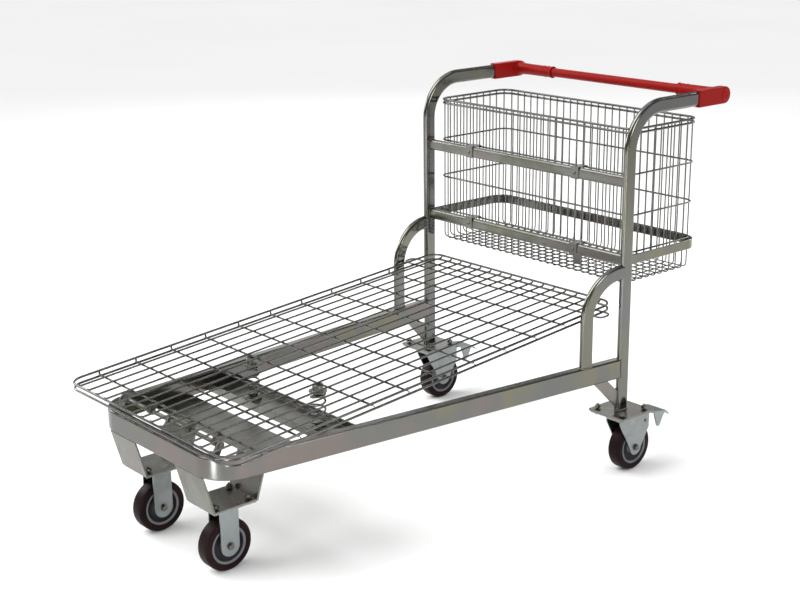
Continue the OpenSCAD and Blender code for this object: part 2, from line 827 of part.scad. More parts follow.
tyre(-upright_x, upright_y + trail);  // tyre_rear_left
tyre(upright_x, upright_y + trail);  // tyre_rear_right
core(-front_x, front_y);  // core_front_left
core(front_x, front_y);  // core_front_right
core(-upright_x, upright_y + trail);  // core_rear_left
core(upright_x, upright_y + trail);  // core_rear_right
bearings(-front_x, front_y);  // bearings_front_left
bearings(front_x, front_y);  // bearings_front_right
bearings(-upright_x, upright_y + trail);  // bearings_rear_left
bearings(upright_x, upright_y + trail);  // bearings_rear_right
fork_rear(-1);  // fork_rear_left
fork_rear(1);  // fork_rear_right
axle_rear(-1);  // axle_rear_left
axle_rear(1);  // axle_rear_right
pedal(-1);  // pedal_left
pedal(1);  // pedal_right
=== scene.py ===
"""The looks of a nesting flatbed shopping cart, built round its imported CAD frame."""

import json
import math

import bmesh
import bpy
from mathutils import Matrix, Vector


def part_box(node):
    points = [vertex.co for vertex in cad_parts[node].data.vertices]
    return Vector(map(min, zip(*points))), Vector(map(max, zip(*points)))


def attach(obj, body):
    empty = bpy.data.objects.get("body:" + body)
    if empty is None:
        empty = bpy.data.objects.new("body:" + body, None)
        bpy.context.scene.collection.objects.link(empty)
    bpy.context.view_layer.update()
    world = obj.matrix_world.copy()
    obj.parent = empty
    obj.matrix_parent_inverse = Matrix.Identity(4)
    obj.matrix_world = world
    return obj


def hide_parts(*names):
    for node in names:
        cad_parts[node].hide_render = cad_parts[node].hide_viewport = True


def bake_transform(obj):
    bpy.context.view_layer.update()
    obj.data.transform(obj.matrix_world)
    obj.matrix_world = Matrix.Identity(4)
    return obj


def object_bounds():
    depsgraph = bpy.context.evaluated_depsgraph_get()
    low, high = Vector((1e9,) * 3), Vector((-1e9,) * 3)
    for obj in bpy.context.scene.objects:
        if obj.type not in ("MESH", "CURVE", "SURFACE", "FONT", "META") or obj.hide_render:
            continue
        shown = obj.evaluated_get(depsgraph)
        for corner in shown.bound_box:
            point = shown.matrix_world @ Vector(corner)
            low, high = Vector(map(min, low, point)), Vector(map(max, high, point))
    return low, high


bl_info = {
    "name": "Flatbed shopping cart",
    "version": (1, 0, 0),
    "blender": (4, 5, 0),
    "location": "View3D > Sidebar > Cart",
    "description": "Builds the visible pieces of a nesting flatbed cart with a wire basket",
    "category": "Add Mesh",
}

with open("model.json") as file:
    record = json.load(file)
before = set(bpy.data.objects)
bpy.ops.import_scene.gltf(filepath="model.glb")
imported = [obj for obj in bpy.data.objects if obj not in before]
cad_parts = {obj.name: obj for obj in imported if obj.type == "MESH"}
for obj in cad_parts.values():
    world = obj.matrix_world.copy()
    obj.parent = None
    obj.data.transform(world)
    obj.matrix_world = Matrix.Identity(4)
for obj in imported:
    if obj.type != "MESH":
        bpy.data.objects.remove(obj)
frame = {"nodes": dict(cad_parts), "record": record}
CAD_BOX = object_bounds()
BODY = {node: body for body, nodes in frame["record"]["behaviour"]["bodies"].items() for node in nodes}
MM = 0.001

# The frame's main places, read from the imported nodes.
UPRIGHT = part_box("upright_right")
UPRIGHT_X = (UPRIGHT[0].x + UPRIGHT[1].x) / 2
UPRIGHT_LONG, UPRIGHT_THICK = 38 * MM, 16 * MM
UPRIGHT_Y = UPRIGHT[0].y + UPRIGHT_LONG / 2
FRONT_EDGE = UPRIGHT_Y - UPRIGHT_LONG / 2
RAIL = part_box("base_frame")
RAIL_X = UPRIGHT_X + UPRIGHT_THICK / 2
NOSE_HALF = 250 * MM
RAIL_WIDE = 25 * MM
BEDDING = 0.3 * MM
SPLAY = math.atan((RAIL_X - NOSE_HALF) / (FRONT_EDGE - RAIL[0].y))
HINGE = sum(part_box("hinge_rod"), Vector()) / 2
HANDLE = sum(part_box("handle_grip"), Vector()) / 2
HANDLE_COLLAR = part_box("handle_grip")[1].x
FRONT_WHEEL = sum(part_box("tyre_front_right"), Vector()) / 2
REAR_WHEEL = sum(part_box("tyre_rear_right"), Vector()) / 2
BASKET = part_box("basket_rings")
BASKET_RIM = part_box("basket_rim")
SIDES = (("left", -1), ("right", 1))


# ---- settings ----


def length(name, description, default):
    """A size in metres."""
    return bpy.props.FloatProperty(name=name, description=description, default=default, unit="LENGTH")


def number(name, description, default):
    """A count."""
    return bpy.props.IntProperty(name=name, description=description, default=default)


def tint(name, description, default):
    """A colour as an sRGB hex value."""
    return bpy.props.StringProperty(name=name, description=description, default=default)


class CartSizes(bpy.types.PropertyGroup):
    """Sizes of what is drawn here and not in the frame."""

    rim_wire: length("Rim wire", "Diameter of the basket's and the deck's rim wires", 6 * MM)
    ring_wire: length("Ring wire", "Diameter of the basket's level wires", 5 * MM)
    basket_wire: length("Basket wire", "Diameter of the basket's upright wires", 3.5 * MM)
    deck_wire: length("Deck wire", "Diameter of the deck's mesh wires", 5 * MM)
    deck_slope: bpy.props.FloatProperty(
        name="Deck slope", description="Slope of the empty deck", default=math.radians(5.1), subtype="ANGLE")
    deck_long: number("Long wires", "Number of deck wires that run from nose to tail", 16)
    deck_cross: number("Cross wires", "Number of deck wires that run from side to side", 10)
    basket_long: number("Basket wires", "Number of wires down the basket's front", 26)
    basket_side: number("Side wires", "Number of wires down each side of the basket", 10)
    tube_corner: length("Tube corner", "Outer corner radius of the base frame's box section", 4.5 * MM)
    edge_break: length("Edge break", "Width of the broken edge on sheet and plate", 0.7 * MM)
    weld_leg: length("Weld leg", "Radius of one ripple of a weld bead", 2.4 * MM)


class CartColours(bpy.types.PropertyGroup):
    """Colours as sRGB hex values."""

    zinc: tint("Zinc", "Clear passivated zinc plate", "#6A6B69")
    straw: tint("Straw tint", "Thicker passivation", "#6F6E64")
    rose: tint("Rose tint", "Interference tint", "#706C6A")
    blue: tint("Blue tint", "Thin passivation", "#697072")
    rail_straw: tint("Rail straw", "Thicker passivation on the rails", "#737062")
    rail_rose: tint("Rail rose", "Interference tint on the rails", "#756C68")
    rail_blue: tint("Rail blue", "Thin passivation on the rails", "#66706F")
    sheet: tint("Sheet", "Zinc plate on flat sheet", "#7B7C76")
    sheet_rose: tint("Sheet rose", "Interference tint on flat sheet", "#7C7672")
    wire: tint("Wire", "Zinc plated drawn wire", "#62635F")
    pressing: tint("Castor", "Blue zinc on castor pressings", "#8E9394")
    pressing_warm: tint("Castor, warm", "Thicker blue zinc", "#868A88")
    pressing_cold: tint("Castor, cold", "Thinner blue zinc", "#8A9598")
    spring_dark: tint("Spring, dark", "Spring wire under thin plate", "#5A5A58")
    spring_light: tint("Spring, light", "Spring wire under thicker plate", "#83837D")
    bearing_dark: tint("Bearing, dark", "Hollows of the ground rings", "#8B8B8C")
    bearing_light: tint("Bearing, light", "Crests of the ground rings", "#B1B1B2")
    plastic: tint("Handle", "Moulded handle plastic", "#8C100A")
    plastic_worn: tint("Handle, worn", "Handle plastic where hands polish it", "#850E09")
    tyre: tint("Tyre", "Cast polyurethane tyre", "#160A0A")
    tyre_dust: tint("Tyre, dusty", "Tyre with floor dust", "#241514")
    core: tint("Wheel core", "Moulded wheel core", "#6C6C72")
    core_drift: tint("Wheel core, drift", "Slow change of the core's tone", "#6A6A70")
    # web is painted shade: a dark tone that stands in for the shade in the wheel core's recess; the bearing
    # seals and brake shoes take it as their own dark colour.
    web: tint("Wheel web", "Recess of the wheel core", "#242428")
    web_dust: tint("Wheel web, dusty", "Recess with floor dust", "#303034")
    floor: tint("Floor", "Studio floor", "#F2F2F1")
    floor_cloud: tint("Floor, clouded", "Slow change of the floor's tone", "#F5F5F4")
    sky: tint("Sky", "Light from all round", "#E6E8EA")


def sizes():
    """The sizes of this scene's cart."""
    return bpy.context.scene.cart_sizes


def colours():
    """The colours of this scene's cart."""
    return bpy.context.scene.cart_colours


# ---- node trees ----


def linear(hex_colour):
    """An sRGB hex value as linear red, green, blue and alpha."""
    channels = [int(hex_colour[i : i + 2], 16) / 255 for i in (1, 3, 5)]
    return [c / 12.92 if c <= 0.04045 else ((c + 0.055) / 1.055) ** 2.4 for c in channels] + [1.0]


def add(tree, kind, inputs=None, **settings):
    """Adds a node, makes its settings, and gives each input a value or a link."""
    node = tree.nodes.new(kind)
    for name, value in settings.items():
        setattr(node, name, value)
    for key, value in (inputs or {}).items():
        if isinstance(value, bpy.types.NodeSocket):
            tree.links.new(value, node.inputs[key])
        else:
            node.inputs[key].default_value = value
    return node


def ramp(tree, factor, stops):
    """A colour ramp with (position, colour) stops."""
    node = add(tree, "ShaderNodeValToRGB", {"Fac": factor})
    band = node.color_ramp
    while len(band.elements) < len(stops):
        band.elements.new(0.5)
    for element, (place, colour) in zip(band.elements, stops):
        element.position = place
        element.color = colour
    return node.outputs["Color"]


def drive(tree, shader, socket, factor, stops):
    """Lets a texture's factor set one of the shader's inputs through a ramp."""
    tree.links.new(ramp(tree, factor, stops), shader.inputs[socket])


def grey(value):
    """A value as a colour without tint."""
    return (value, value, value, 1.0)


def new_material(name):
    """An empty principled material: the material, its tree, its shader and its Object coordinates."""
    made = bpy.data.materials.new(name)
    made.use_nodes = True
    tree = made.node_tree
    shader = tree.nodes["Principled BSDF"]
    return made, tree, shader, add(tree, "ShaderNodeTexCoord").outputs["Object"]


def plated(name, base, tints, rough, grain, patch_mm, grain_mm):
    """Zinc plate on steel: soft patches of tint under fine drawing lines along the grain axis."""
    made, tree, shader, place = new_material(name)
    shader.inputs["Metallic"].default_value = 1.0
    patch = add(tree, "ShaderNodeTexNoise", {"Vector": place, "Scale": 1000 / patch_mm, "Detail": 3.0,
                                             "Roughness": 0.55})
    first, second, third = (linear(c) for c in tints)
    stops = [(0.30, linear(base)), (0.43, first), (0.50, linear(base)), (0.58, second), (0.66, linear(base)),
             (0.78, third)]
    drive(tree, shader, "Base Color", patch.outputs["Fac"], stops)
    squeeze = 24.0
    stretch = [1.0 if axis == grain else squeeze for axis in "XYZ"]
    lines = add(tree, "ShaderNodeMapping", {"Vector": place, "Scale": stretch})
    drawn = add(tree, "ShaderNodeTexNoise", {"Vector": lines.outputs["Vector"],
                                             "Scale": 1000 / (squeeze * grain_mm), "Detail": 4.0,
                                             "Roughness": 0.6})
    smudge = add(tree, "ShaderNodeTexNoise", {"Vector": place, "Scale": 28.0, "Detail": 5.0})
    mixed = add(tree, "ShaderNodeMath", {0: drawn.outputs["Fac"], 1: smudge.outputs["Fac"]},
                operation="MULTIPLY")
    drive(tree, shader, "Roughness", mixed.outputs[0], [(0.12, grey(rough[0])), (0.42, grey(rough[1]))])
    bump = add(tree, "ShaderNodeBump", {"Height": drawn.outputs["Fac"], "Strength": 0.10,
                                        "Distance": 0.05 * MM})
    tree.links.new(bump.outputs["Normal"], shader.inputs["Normal"])
    return made


def zinc_tube():
    """Welded steel tube, zinc plated and clear passivated: satin grey with faint straw, rose and blue."""
    c = colours()
    return plated("zinc_plated_tube", c.zinc, (c.straw, c.rose, c.blue), (0.10, 0.22), "Z", 260, 0.5)


def zinc_rail():
    """The same plate on the long rails, where the drawing lines run fore and aft."""
    c = colours()
    tints = (c.rail_straw, c.rail_rose, c.rail_blue)
    return plated("zinc_plated_rail", c.zinc, tints, (0.13, 0.28), "Y", 300, 0.5)


def zinc_sheet():
    """Laser-cut sheet, zinc plated: duller and more mottled than the tube."""
    c = colours()
    return plated("zinc_plated_sheet", c.sheet, (c.straw, c.sheet_rose, c.sheet), (0.24, 0.40), "X", 180, 0.6)


def drawn_wire():
    """Cold-drawn wire, zinc plated after welding: a dark, glossy skin with fine lines along the wire."""
    c = colours()
    return plated("zinc_plated_wire", c.wire, (c.zinc, c.wire, c.blue), (0.18, 0.34), "Y", 90, 1.0)


def upright_wire():
    """The same wire where it stands upright, in the basket."""
    c = colours()
    return plated("zinc_plated_basket_wire", c.wire, (c.zinc, c.wire, c.blue), (0.18, 0.34), "Z", 90, 1.5)


def castor_pressing():
    """Pressed steel castor parts in blue-bright zinc: a cold, cloudy sheen."""
    c = colours()
    tints = (c.pressing_warm, c.pressing, c.pressing_cold)
    return plated("blue_zinc_pressing", c.pressing, tints, (0.24, 0.42), "Z", 70, 0.8)


def fastener_zinc():
    """Cold-headed bolts and nuts, barrel plated: small bright faces with tumbling marks."""
    c = colours()
    return plated("barrel_plated_fastener", c.zinc, (c.straw, c.zinc, c.blue), (0.20, 0.42), "Z", 9, 0.6)


def weld_metal():
    """Plated weld bead: rippled and brighter than the plate beside it."""
    c = colours()
    return plated("plated_weld_bead", c.zinc, (c.zinc, c.straw, c.zinc), (0.18, 0.36), "Z", 6, 0.6)


def bare_metal(name, scale, detail, ends, tones, rough):
    """Steel with little or no plate: one fine noise sets both its tone and its sheen."""
    made, tree, shader, place = new_material(name)
    shader.inputs["Metallic"].default_value = 1.0
    stain = add(tree, "ShaderNodeTexNoise", {"Vector": place, "Scale": scale, "Detail": detail})
    drive(tree, shader, "Base Color", stain.outputs["Fac"], [(e, linear(t)) for e, t in zip(ends, tones)])
    drive(tree, shader, "Roughness", stain.outputs["Fac"], [(0.3, grey(rough[0])), (0.7, grey(rough[1]))])
    return made


def spring_wire():
    """Hard-drawn spring wire under a thin plate: dark and glossy."""
    tones = (colours().spring_dark, colours().spring_light)
    return bare_metal("plated_spring_wire", 120.0, 4.0, (0.35, 0.65), tones, (0.22, 0.4))


def bearing_steel():
    """Ground and hardened bearing rings: turned rings give a tight sheen."""
    tones = (colours().bearing_dark, colours().bearing_light)
    return bare_metal("ground_bearing_steel", 700.0, 2.0, (0.3, 0.7), tones, (0.18, 0.32))


def moulded(name, colour, shade, rough, texture_mm, bump_mm, ior, gloss=0.5):
    """An injection-moulded polymer: a fine spark-eroded texture and a slow drift of tone."""
    made, tree, shader, place = new_material(name)
    shader.inputs["IOR"].default_value = ior
    shader.inputs["Specular IOR Level"].default_value = gloss
    drift = add(tree, "ShaderNodeTexNoise", {"Vector": place, "Scale": 14.0, "Detail": 3.0})
    drive(tree, shader, "Base Color", drift.outputs["Fac"], [(0.35, linear(colour)), (0.7, linear(shade))])
    skin = add(tree, "ShaderNodeTexNoise", {"Vector": place, "Scale": 1000 / texture_mm, "Detail": 3.0,
                                            "Roughness": 0.6})
    drive(tree, shader, "Roughness", skin.outputs["Fac"], [(0.3, grey(rough[0])), (0.7, grey(rough[1]))])
    bump = add(tree, "ShaderNodeBump", {"Height": skin.outputs["Fac"], "Strength": 0.25,
                                        "Distance": bump_mm * MM})
    tree.links.new(bump.outputs["Normal"], shader.inputs["Normal"])
    return made


def red_plastic():
    """Gloss polypropylene of the handle and its corners, a little polished by hands."""
    c = colours()
    return moulded("moulded_red_polypropylene", c.plastic, c.plastic_worn, (0.26, 0.42), 1.6, 0.06, 1.49, 0.1)


def tyre_polyurethane():
    """Cast polyurethane tread, deep maroon: smooth with a dusty running band."""
    c = colours()
    return moulded("cast_polyurethane_tyre", c.tyre, c.tyre_dust, (0.34, 0.55), 1.2, 0.08, 1.50, 0.08)


def core_nylon():
    """Moulded wheel core: satin grey."""
    c = colours()
    return moulded("moulded_grey_wheel_core", c.core, c.core_drift, (0.38, 0.5), 1.0, 0.05, 1.50, 0.35)


def dark_nylon_and_web_shade():
    """The recess of the wheel core, unpolished and dusty, painted dark as the shade that falls in it; the
    bearing seals and brake shoes use the same dark as their own colour.
    """
    c = colours()
    return moulded("dark_nylon_and_painted_web_shade", c.web, c.web_dust, (0.5, 0.65), 1.0, 0.05, 1.50, 0.25)


def floor_paint():
    """Matt painted studio floor."""
    made, tree, shader, place = new_material("matt_floor_paint")
    cloud = add(tree, "ShaderNodeTexNoise", {"Vector": place, "Scale": 0.6, "Detail": 2.0})
    tones = [(0.3, linear(colours().floor)), (0.7, linear(colours().floor_cloud))]
    drive(tree, shader, "Base Color", cloud.outputs["Fac"], tones)
    shader.inputs["Roughness"].default_value = 0.9
    shader.inputs["Specular IOR Level"].default_value = 0.1
    return made


MADE = {}


def material(make):
    """The material that a function makes, made once."""
    if make not in MADE:
        MADE[make] = make().name
    return bpy.data.materials[MADE[make]]


def geometry_tree(name, floats, integers=(), vectors=()):
    """A geometry tree with named inputs, a material input and its group nodes: tree, inputs, output."""
    tree = bpy.data.node_groups.new(name, "GeometryNodeTree")
    face = tree.interface
    face.new_socket("Geometry", in_out="OUTPUT", socket_type="NodeSocketGeometry")
    face.new_socket("Geometry", in_out="INPUT", socket_type="NodeSocketGeometry")
    for kind, names in (("Float", floats), ("Int", integers), ("Vector", vectors)):
        for label in names:
            face.new_socket(label, in_out="INPUT", socket_type="NodeSocket" + kind)
    face.new_socket("Material", in_out="INPUT", socket_type="NodeSocketMaterial")
    return tree, add(tree, "NodeGroupInput").outputs, add(tree, "NodeGroupOutput")


def end_tree(tree, given, out, geometry, smooth=True):
    """Closes a tree: real geometry, shading, material."""
    real = add(tree, "GeometryNodeRealizeInstances", {"Geometry": geometry})
    shaded = add(tree, "GeometryNodeSetShadeSmooth", {"Geometry": real.outputs[0], "Shade Smooth": smooth})
    painted = add(tree, "GeometryNodeSetMaterial", {"Geometry": shaded.outputs[0],
                                                    "Material": given["Material"]})
    tree.links.new(painted.outputs[0], out.inputs[0])
    return tree


def wire_tree():
    """Bends a round wire along drawn corners and repeats it by a step."""
    tree, given, out = geometry_tree("bent_wires", ("Diameter", "Bend radius"), ("Sides", "Count"), ("Step",))
    path = add(tree, "GeometryNodeMeshToCurve", {"Mesh": given["Geometry"]})
    fillet = {"Curve": path.outputs[0], "Count": 6, "Radius": given["Bend radius"], "Limit Radius": True}
    bent = add(tree, "GeometryNodeFilletCurve", fillet, mode="POLY")
    radius = add(tree, "ShaderNodeMath", {0: given["Diameter"], 1: 0.5}, operation="MULTIPLY")
    section = add(tree, "GeometryNodeCurvePrimitiveCircle", {"Resolution": given["Sides"],
                                                             "Radius": radius.outputs[0]})
    parts = {"Curve": bent.outputs[0], "Profile Curve": section.outputs[0], "Fill Caps": True}
    wire = add(tree, "GeometryNodeCurveToMesh", parts)
    row = add(tree, "GeometryNodeMeshLine", {"Count": given["Count"], "Offset": given["Step"]})
    copies = add(tree, "GeometryNodeInstanceOnPoints", {"Points": row.outputs[0],
                                                        "Instance": wire.outputs[0]})
    return end_tree(tree, given, out, copies.outputs[0])


def nuggets(tree, given, out, points, least):
    """Ends a tree with a drop of weld on every point, each between least and 1.1 times its radius."""
    drop = add(tree, "GeometryNodeMeshIcoSphere", {"Radius": given["Radius"], "Subdivisions": 2})
    scale = add(tree, "FunctionNodeRandomValue", {2: least, 3: 1.1, "Seed": given["Seed"]}, data_type="FLOAT")
    drops = add(tree, "GeometryNodeInstanceOnPoints", {"Points": points, "Instance": drop.outputs[0],
                                                       "Scale": scale.outputs[1]})
    return end_tree(tree, given, out, drops.outputs[0])


def bead_tree():
    """Lays the overlapping ripples of a weld bead along a drawn line."""
    tree, given, out = geometry_tree("weld_beads", ("Radius",), ("Seed",))
    path = add(tree, "GeometryNodeMeshToCurve", {"Mesh": given["Geometry"]})
    spaced = add(tree, "GeometryNodeResampleCurve", {"Curve": path.outputs[0], "Length": given["Radius"]},
                 mode="LENGTH")
    return nuggets(tree, given, out, spaced.outputs[0], 0.75)


def spot_tree():
    """Puts a small nugget of weld at every drawn point."""
    tree, given, out = geometry_tree("spot_welds", ("Radius",), ("Seed",))
    return nuggets(tree, given, out, given["Geometry"], 0.8)


def bolt_tree():
    """Repeats a drawn bolt at the corners of two rectangles that mirror each other about x = 0."""
    floats = ("Spacing X", "Spacing Y", "Centre X", "Centre Y", "Height")
    tree, given, out = geometry_tree("bolt_squares", floats)
    grid = add(tree, "GeometryNodeMeshGrid", {"Size X": given["Spacing X"], "Size Y": given["Spacing Y"],
                                              "Vertices X": 2, "Vertices Y": 2})
    left = add(tree, "ShaderNodeMath", {0: given["Centre X"], 1: -1.0}, operation="MULTIPLY")
    corners = add(tree, "GeometryNodeJoinGeometry")
    for x in (left.outputs[0], given["Centre X"]):
        spot = add(tree, "ShaderNodeCombineXYZ", {"X": x, "Y": given["Centre Y"], "Z": given["Height"]})
        moved = add(tree, "GeometryNodeTransform", {"Geometry": grid.outputs[0],
                                                    "Translation": spot.outputs[0]})
        tree.links.new(moved.outputs[0], corners.inputs[0])
    bolts = add(tree, "GeometryNodeInstanceOnPoints", {"Points": corners.outputs[0],
                                                       "Instance": given["Geometry"]})
    return end_tree(tree, given, out, bolts.outputs[0], smooth=False)


# ---- mesh making ----


def place(name, mesh, body, slot, nodes=()):
    """Puts a finished mesh in the scene, standing for its CAD nodes. It rides on its body, if it has one."""
    made = bpy.data.objects.new(name, mesh)
    bpy.context.scene.collection.objects.link(made)
    if body:
        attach(made, body)
    if nodes:
        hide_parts(*nodes)
    return made


def paint(mesh, *makers):
    """Gives a mesh the materials that these functions make."""
    for make in makers:
        mesh.materials.append(material(make))
    return mesh


def grow(name, drawn, make_tree, make, **inputs):
    """Runs a geometry tree, made once, on a drawn mesh and gives the result as a plain mesh."""
    if make_tree not in MADE:
        MADE[make_tree] = make_tree().name
    tree = bpy.data.node_groups[MADE[make_tree]]
    holder = bpy.data.objects.new(name, drawn)
    bpy.context.scene.collection.objects.link(holder)
    modifier = holder.modifiers.new("Grow", "NODES")
    modifier.node_group = tree
    sockets = {s.name: s.identifier for s in tree.interface.items_tree if s.in_out == "INPUT"}
    for label, value in {**inputs, "Material": material(make)}.items():
        modifier[sockets[label.replace("_", " ")]] = value
    holder.update_tag()
    bpy.context.view_layer.update()
    seen = holder.evaluated_get(bpy.context.evaluated_depsgraph_get())
    mesh = bpy.data.meshes.new_from_object(seen)
    bpy.data.objects.remove(holder)
    mesh.name = name
    return mesh


def to_mesh(name, bm):
    """A mesh from a finished bmesh, which is freed."""
    mesh = bpy.data.meshes.new(name)
    bm.to_mesh(mesh)
    bm.free()
    return mesh


def skin(bm, rings, smooth=False):
    """Closes the band between each ring of points and the next."""
    for near, far in zip(rings, rings[1:]):
        for i in range(len(near)):
            k = (i + 1) % len(near)
            bm.faces.new((near[i], near[k], far[k], far[i])).smooth = smooth


def lines(name, paths, closed=False, turn=None):
    """Draws polylines as mesh edges; turn moves them into place."""
    mesh = bpy.data.meshes.new(name)
    points, edges = [], []
    for path in paths:
        first = len(points)
        points += [Vector(p) for p in path]
        edges += [(i, i + 1) for i in range(first, len(points) - 1)]
        if closed:
            edges.append((len(points) - 1, first))
    mesh.from_pydata(points, edges, [])
    if turn:
        mesh.transform(turn)
    return mesh


def rectangle(x, y0, y1, z):
    """The corners of a level rectangle that runs from -x to x."""
    return [(-x, y0, z), (x, y0, z), (x, y1, z), (-x, y1, z)]


def hanger(start, end, top, bottom):
    """A wire that drops from one (x, y) place, runs across and rises at the other."""
    return [(*start, top), (*start, bottom), (*end, bottom), (*end, top)]


def join(name, meshes):
    """One mesh from several. Parts of one material share its slot."""
    bm = bmesh.new()
    slots = []
    for mesh in meshes:
        slots += [item for item in mesh.materials if item not in slots]
        places = [slots.index(item) for item in mesh.materials] or [0]
        before = len(bm.faces)
        bm.from_mesh(mesh)
        bm.faces.ensure_lookup_table()
        for face in bm.faces[before:]:
            face.material_index = places[face.material_index]
    made = to_mesh(name, bm)
    for item in slots:
        made.materials.append(item)
    return made


def wires(name, paths, diameter, bend, closed=False, turn=None, count=1, step=(0, 0, 0), sides=10,
          make=drawn_wire):
    """Round wires along drawn paths with bent corners, repeated count times."""
    drawn = lines(name, paths, closed, turn)
    return grow(name, drawn, wire_tree, make, Diameter=diameter, Bend_radius=bend, Sides=sides, Count=count,
                Step=step)


def weighted(made):
    """Normals that follow the large faces, so that flats stay flat beside rounds."""
    modifier = made.modifiers.new("Normals", "WEIGHTED_NORMAL")
    modifier.keep_sharp = True
    modifier.weight = 80
    return made


def cad_piece(node, make, slot, width=None, sharp=35):
    """A merged copy of a CAD node with broken edges, so that they catch the light."""
    bm = bmesh.new()
    bm.from_mesh(frame["nodes"][node].data)
    bmesh.ops.remove_doubles(bm, verts=bm.verts, dist=0.002 * MM)
    bmesh.ops.dissolve_limit(bm, angle_limit=math.radians(0.5), verts=bm.verts, edges=bm.edges)
    mesh = to_mesh(node + "_piece", bm)
    mesh.polygons.foreach_set("use_smooth", [True] * len(mesh.polygons))
    mesh.set_sharp_from_angle(angle=math.radians(sharp))
    paint(mesh, make)
    made = place(node + "_piece", mesh, BODY[node], slot, [node])
    width = sizes().edge_break if width is None else width
    if width:
        bevel = made.modifiers.new("Edges", "BEVEL")
        bevel.width = width
        bevel.segments = 2
        bevel.limit_method = "ANGLE"
        bevel.angle_limit = math.radians(sharp)
        bevel.use_clamp_overlap = True
        bevel.harden_normals = True
    return weighted(made)


def sweep(name, stations, section, make):
    """Carries a closed section along stations of (origin, side, up) and caps both ends."""
    bm = bmesh.new()
    rings = [[bm.verts.new(o + side * a + up * b) for a, b in section] for o, side, up in stations]
    skin(bm, rings, smooth=True)
    bm.faces.new(rings[0])
    bm.faces.new(list(reversed(rings[-1])))
    bmesh.ops.recalc_face_normals(bm, faces=bm.faces)
    mesh = to_mesh(name, bm)
    mesh.set_sharp_from_angle(angle=math.radians(50))
    return paint(mesh, make)


def turned(name, profile, makers, centre, steps=72, sharp=40, axis="X"):
    """Turns (radius, along, material) points about an axis; a radius of 0 closes the form."""
    bm = bmesh.new()
    rings = []
    for radius, along, _ in profile:
        if radius == 0:
            rings.append([bm.verts.new((along, 0, 0))] * steps)
            continue
        turn = [2 * math.pi * k / steps for k in range(steps)]
        rings.append([bm.verts.new((along, radius * math.cos(t), radius * math.sin(t))) for t in turn])
    for index, (near, far) in enumerate(zip(rings, rings[1:] + rings[:1])):
        if near[0] is near[1] and far[0] is far[1]:
            continue
        for k in range(steps):
            n = (k + 1) % steps
            face = bm.faces.new(list(dict.fromkeys((near[k], near[n], far[n], far[k]))))
            face.smooth = True
            face.material_index = profile[index][2]
    bmesh.ops.recalc_face_normals(bm, faces=bm.faces)
    if axis != "X":
        quarter, about = {"Y": (90, "Z"), "Z": (-90, "Y")}[axis]
        bmesh.ops.rotate(bm, verts=bm.verts, matrix=Matrix.Rotation(math.radians(quarter), 3, about))
    bmesh.ops.translate(bm, verts=bm.verts, vec=centre)
    mesh = to_mesh(name, bm)
    mesh.set_sharp_from_angle(angle=math.radians(sharp))
    return paint(mesh, *makers)


def in_mm(outline):
    """A turned outline written in millimetres, in metres."""
    return [(radius * MM, along * MM, part) for radius, along, part in outline]


def rounded_rectangle(w, h, r, steps=5):
    """Corner-rounded outline, from (0, 0) to (w, h)."""
    points = []
    for cx, cy, start in ((w - r, r, -90), (w - r, h - r, 0), (r, h - r, 90), (r, r, 180)):
        for k in range(steps + 1):
            a = math.radians(start + 90 * k / steps)
            points.append((cx + r * math.cos(a), cy + r * math.sin(a)))
    return points


def oval(length, thick, centre, along, across, steps=8):
    """Points round a flat oval, long side along one vector and thickness along the other."""
    points = []
    for sign in (1, -1):
        for k in range(steps + 1):
            a = math.radians(-90 + 180 * k / steps)
            u = sign * ((length - thick) / 2 + thick / 2 * math.cos(a))
            points.append(centre + along * u + across * (sign * thick / 2 * math.sin(a)))
    return points


def hexagon_head(width, height, washer_r, washer_h):
    """A chamfered hexagon on a round washer, standing up from z = 0."""
    bm = bmesh.new()
    corner = width / math.sqrt(3)
    levels = [(corner * 0.985, washer_h), (corner, washer_h + 0.06 * height),
              (corner, washer_h + 0.82 * height), (corner * 0.86, washer_h + height)]
    rounds = [(washer_r, 0), (washer_r, washer_h * 0.8), (washer_r - 0.3 * MM, washer_h)]
    for count, form in ((6, levels), (32, rounds)):
        turn = [2 * math.pi * k / count for k in range(count)]
        rings = [[bm.verts.new((r * math.cos(t), r * math.sin(t), z)) for t in turn] for r, z in form]
        skin(bm, rings)
        bm.faces.new(rings[-1])
        bm.faces.new(list(reversed(rings[0])))
    return to_mesh("hexagon_head", bm)


def stacked(*parts):
    """One mesh from several, each moved by its own matrix."""
    bm = bmesh.new()
    for mesh, move in parts:
        copy = mesh.copy()
        copy.transform(move)
        bm.from_mesh(copy)
    return to_mesh("stacked", bm)


def screw_end(radius, length, pitch=1.25 * MM):
    """A threaded bolt end standing up from z = 0, its thread drawn as rings with a chamfered tip."""
    profile = [(radius, 0.0, 0)]
    for k in range(int(length / pitch)):
        z = k * pitch
        profile += [(radius, z + 0.15 * pitch, 0), (radius * 0.88, z + 0.6 * pitch, 0)]
    profile += [(radius * 0.8, length, 0), (0, length, 0), (0, 0.0, 0)]
    return turned("screw_end", profile, [fastener_zinc], Vector(), steps=20, axis="Z")


# ---- operators ----


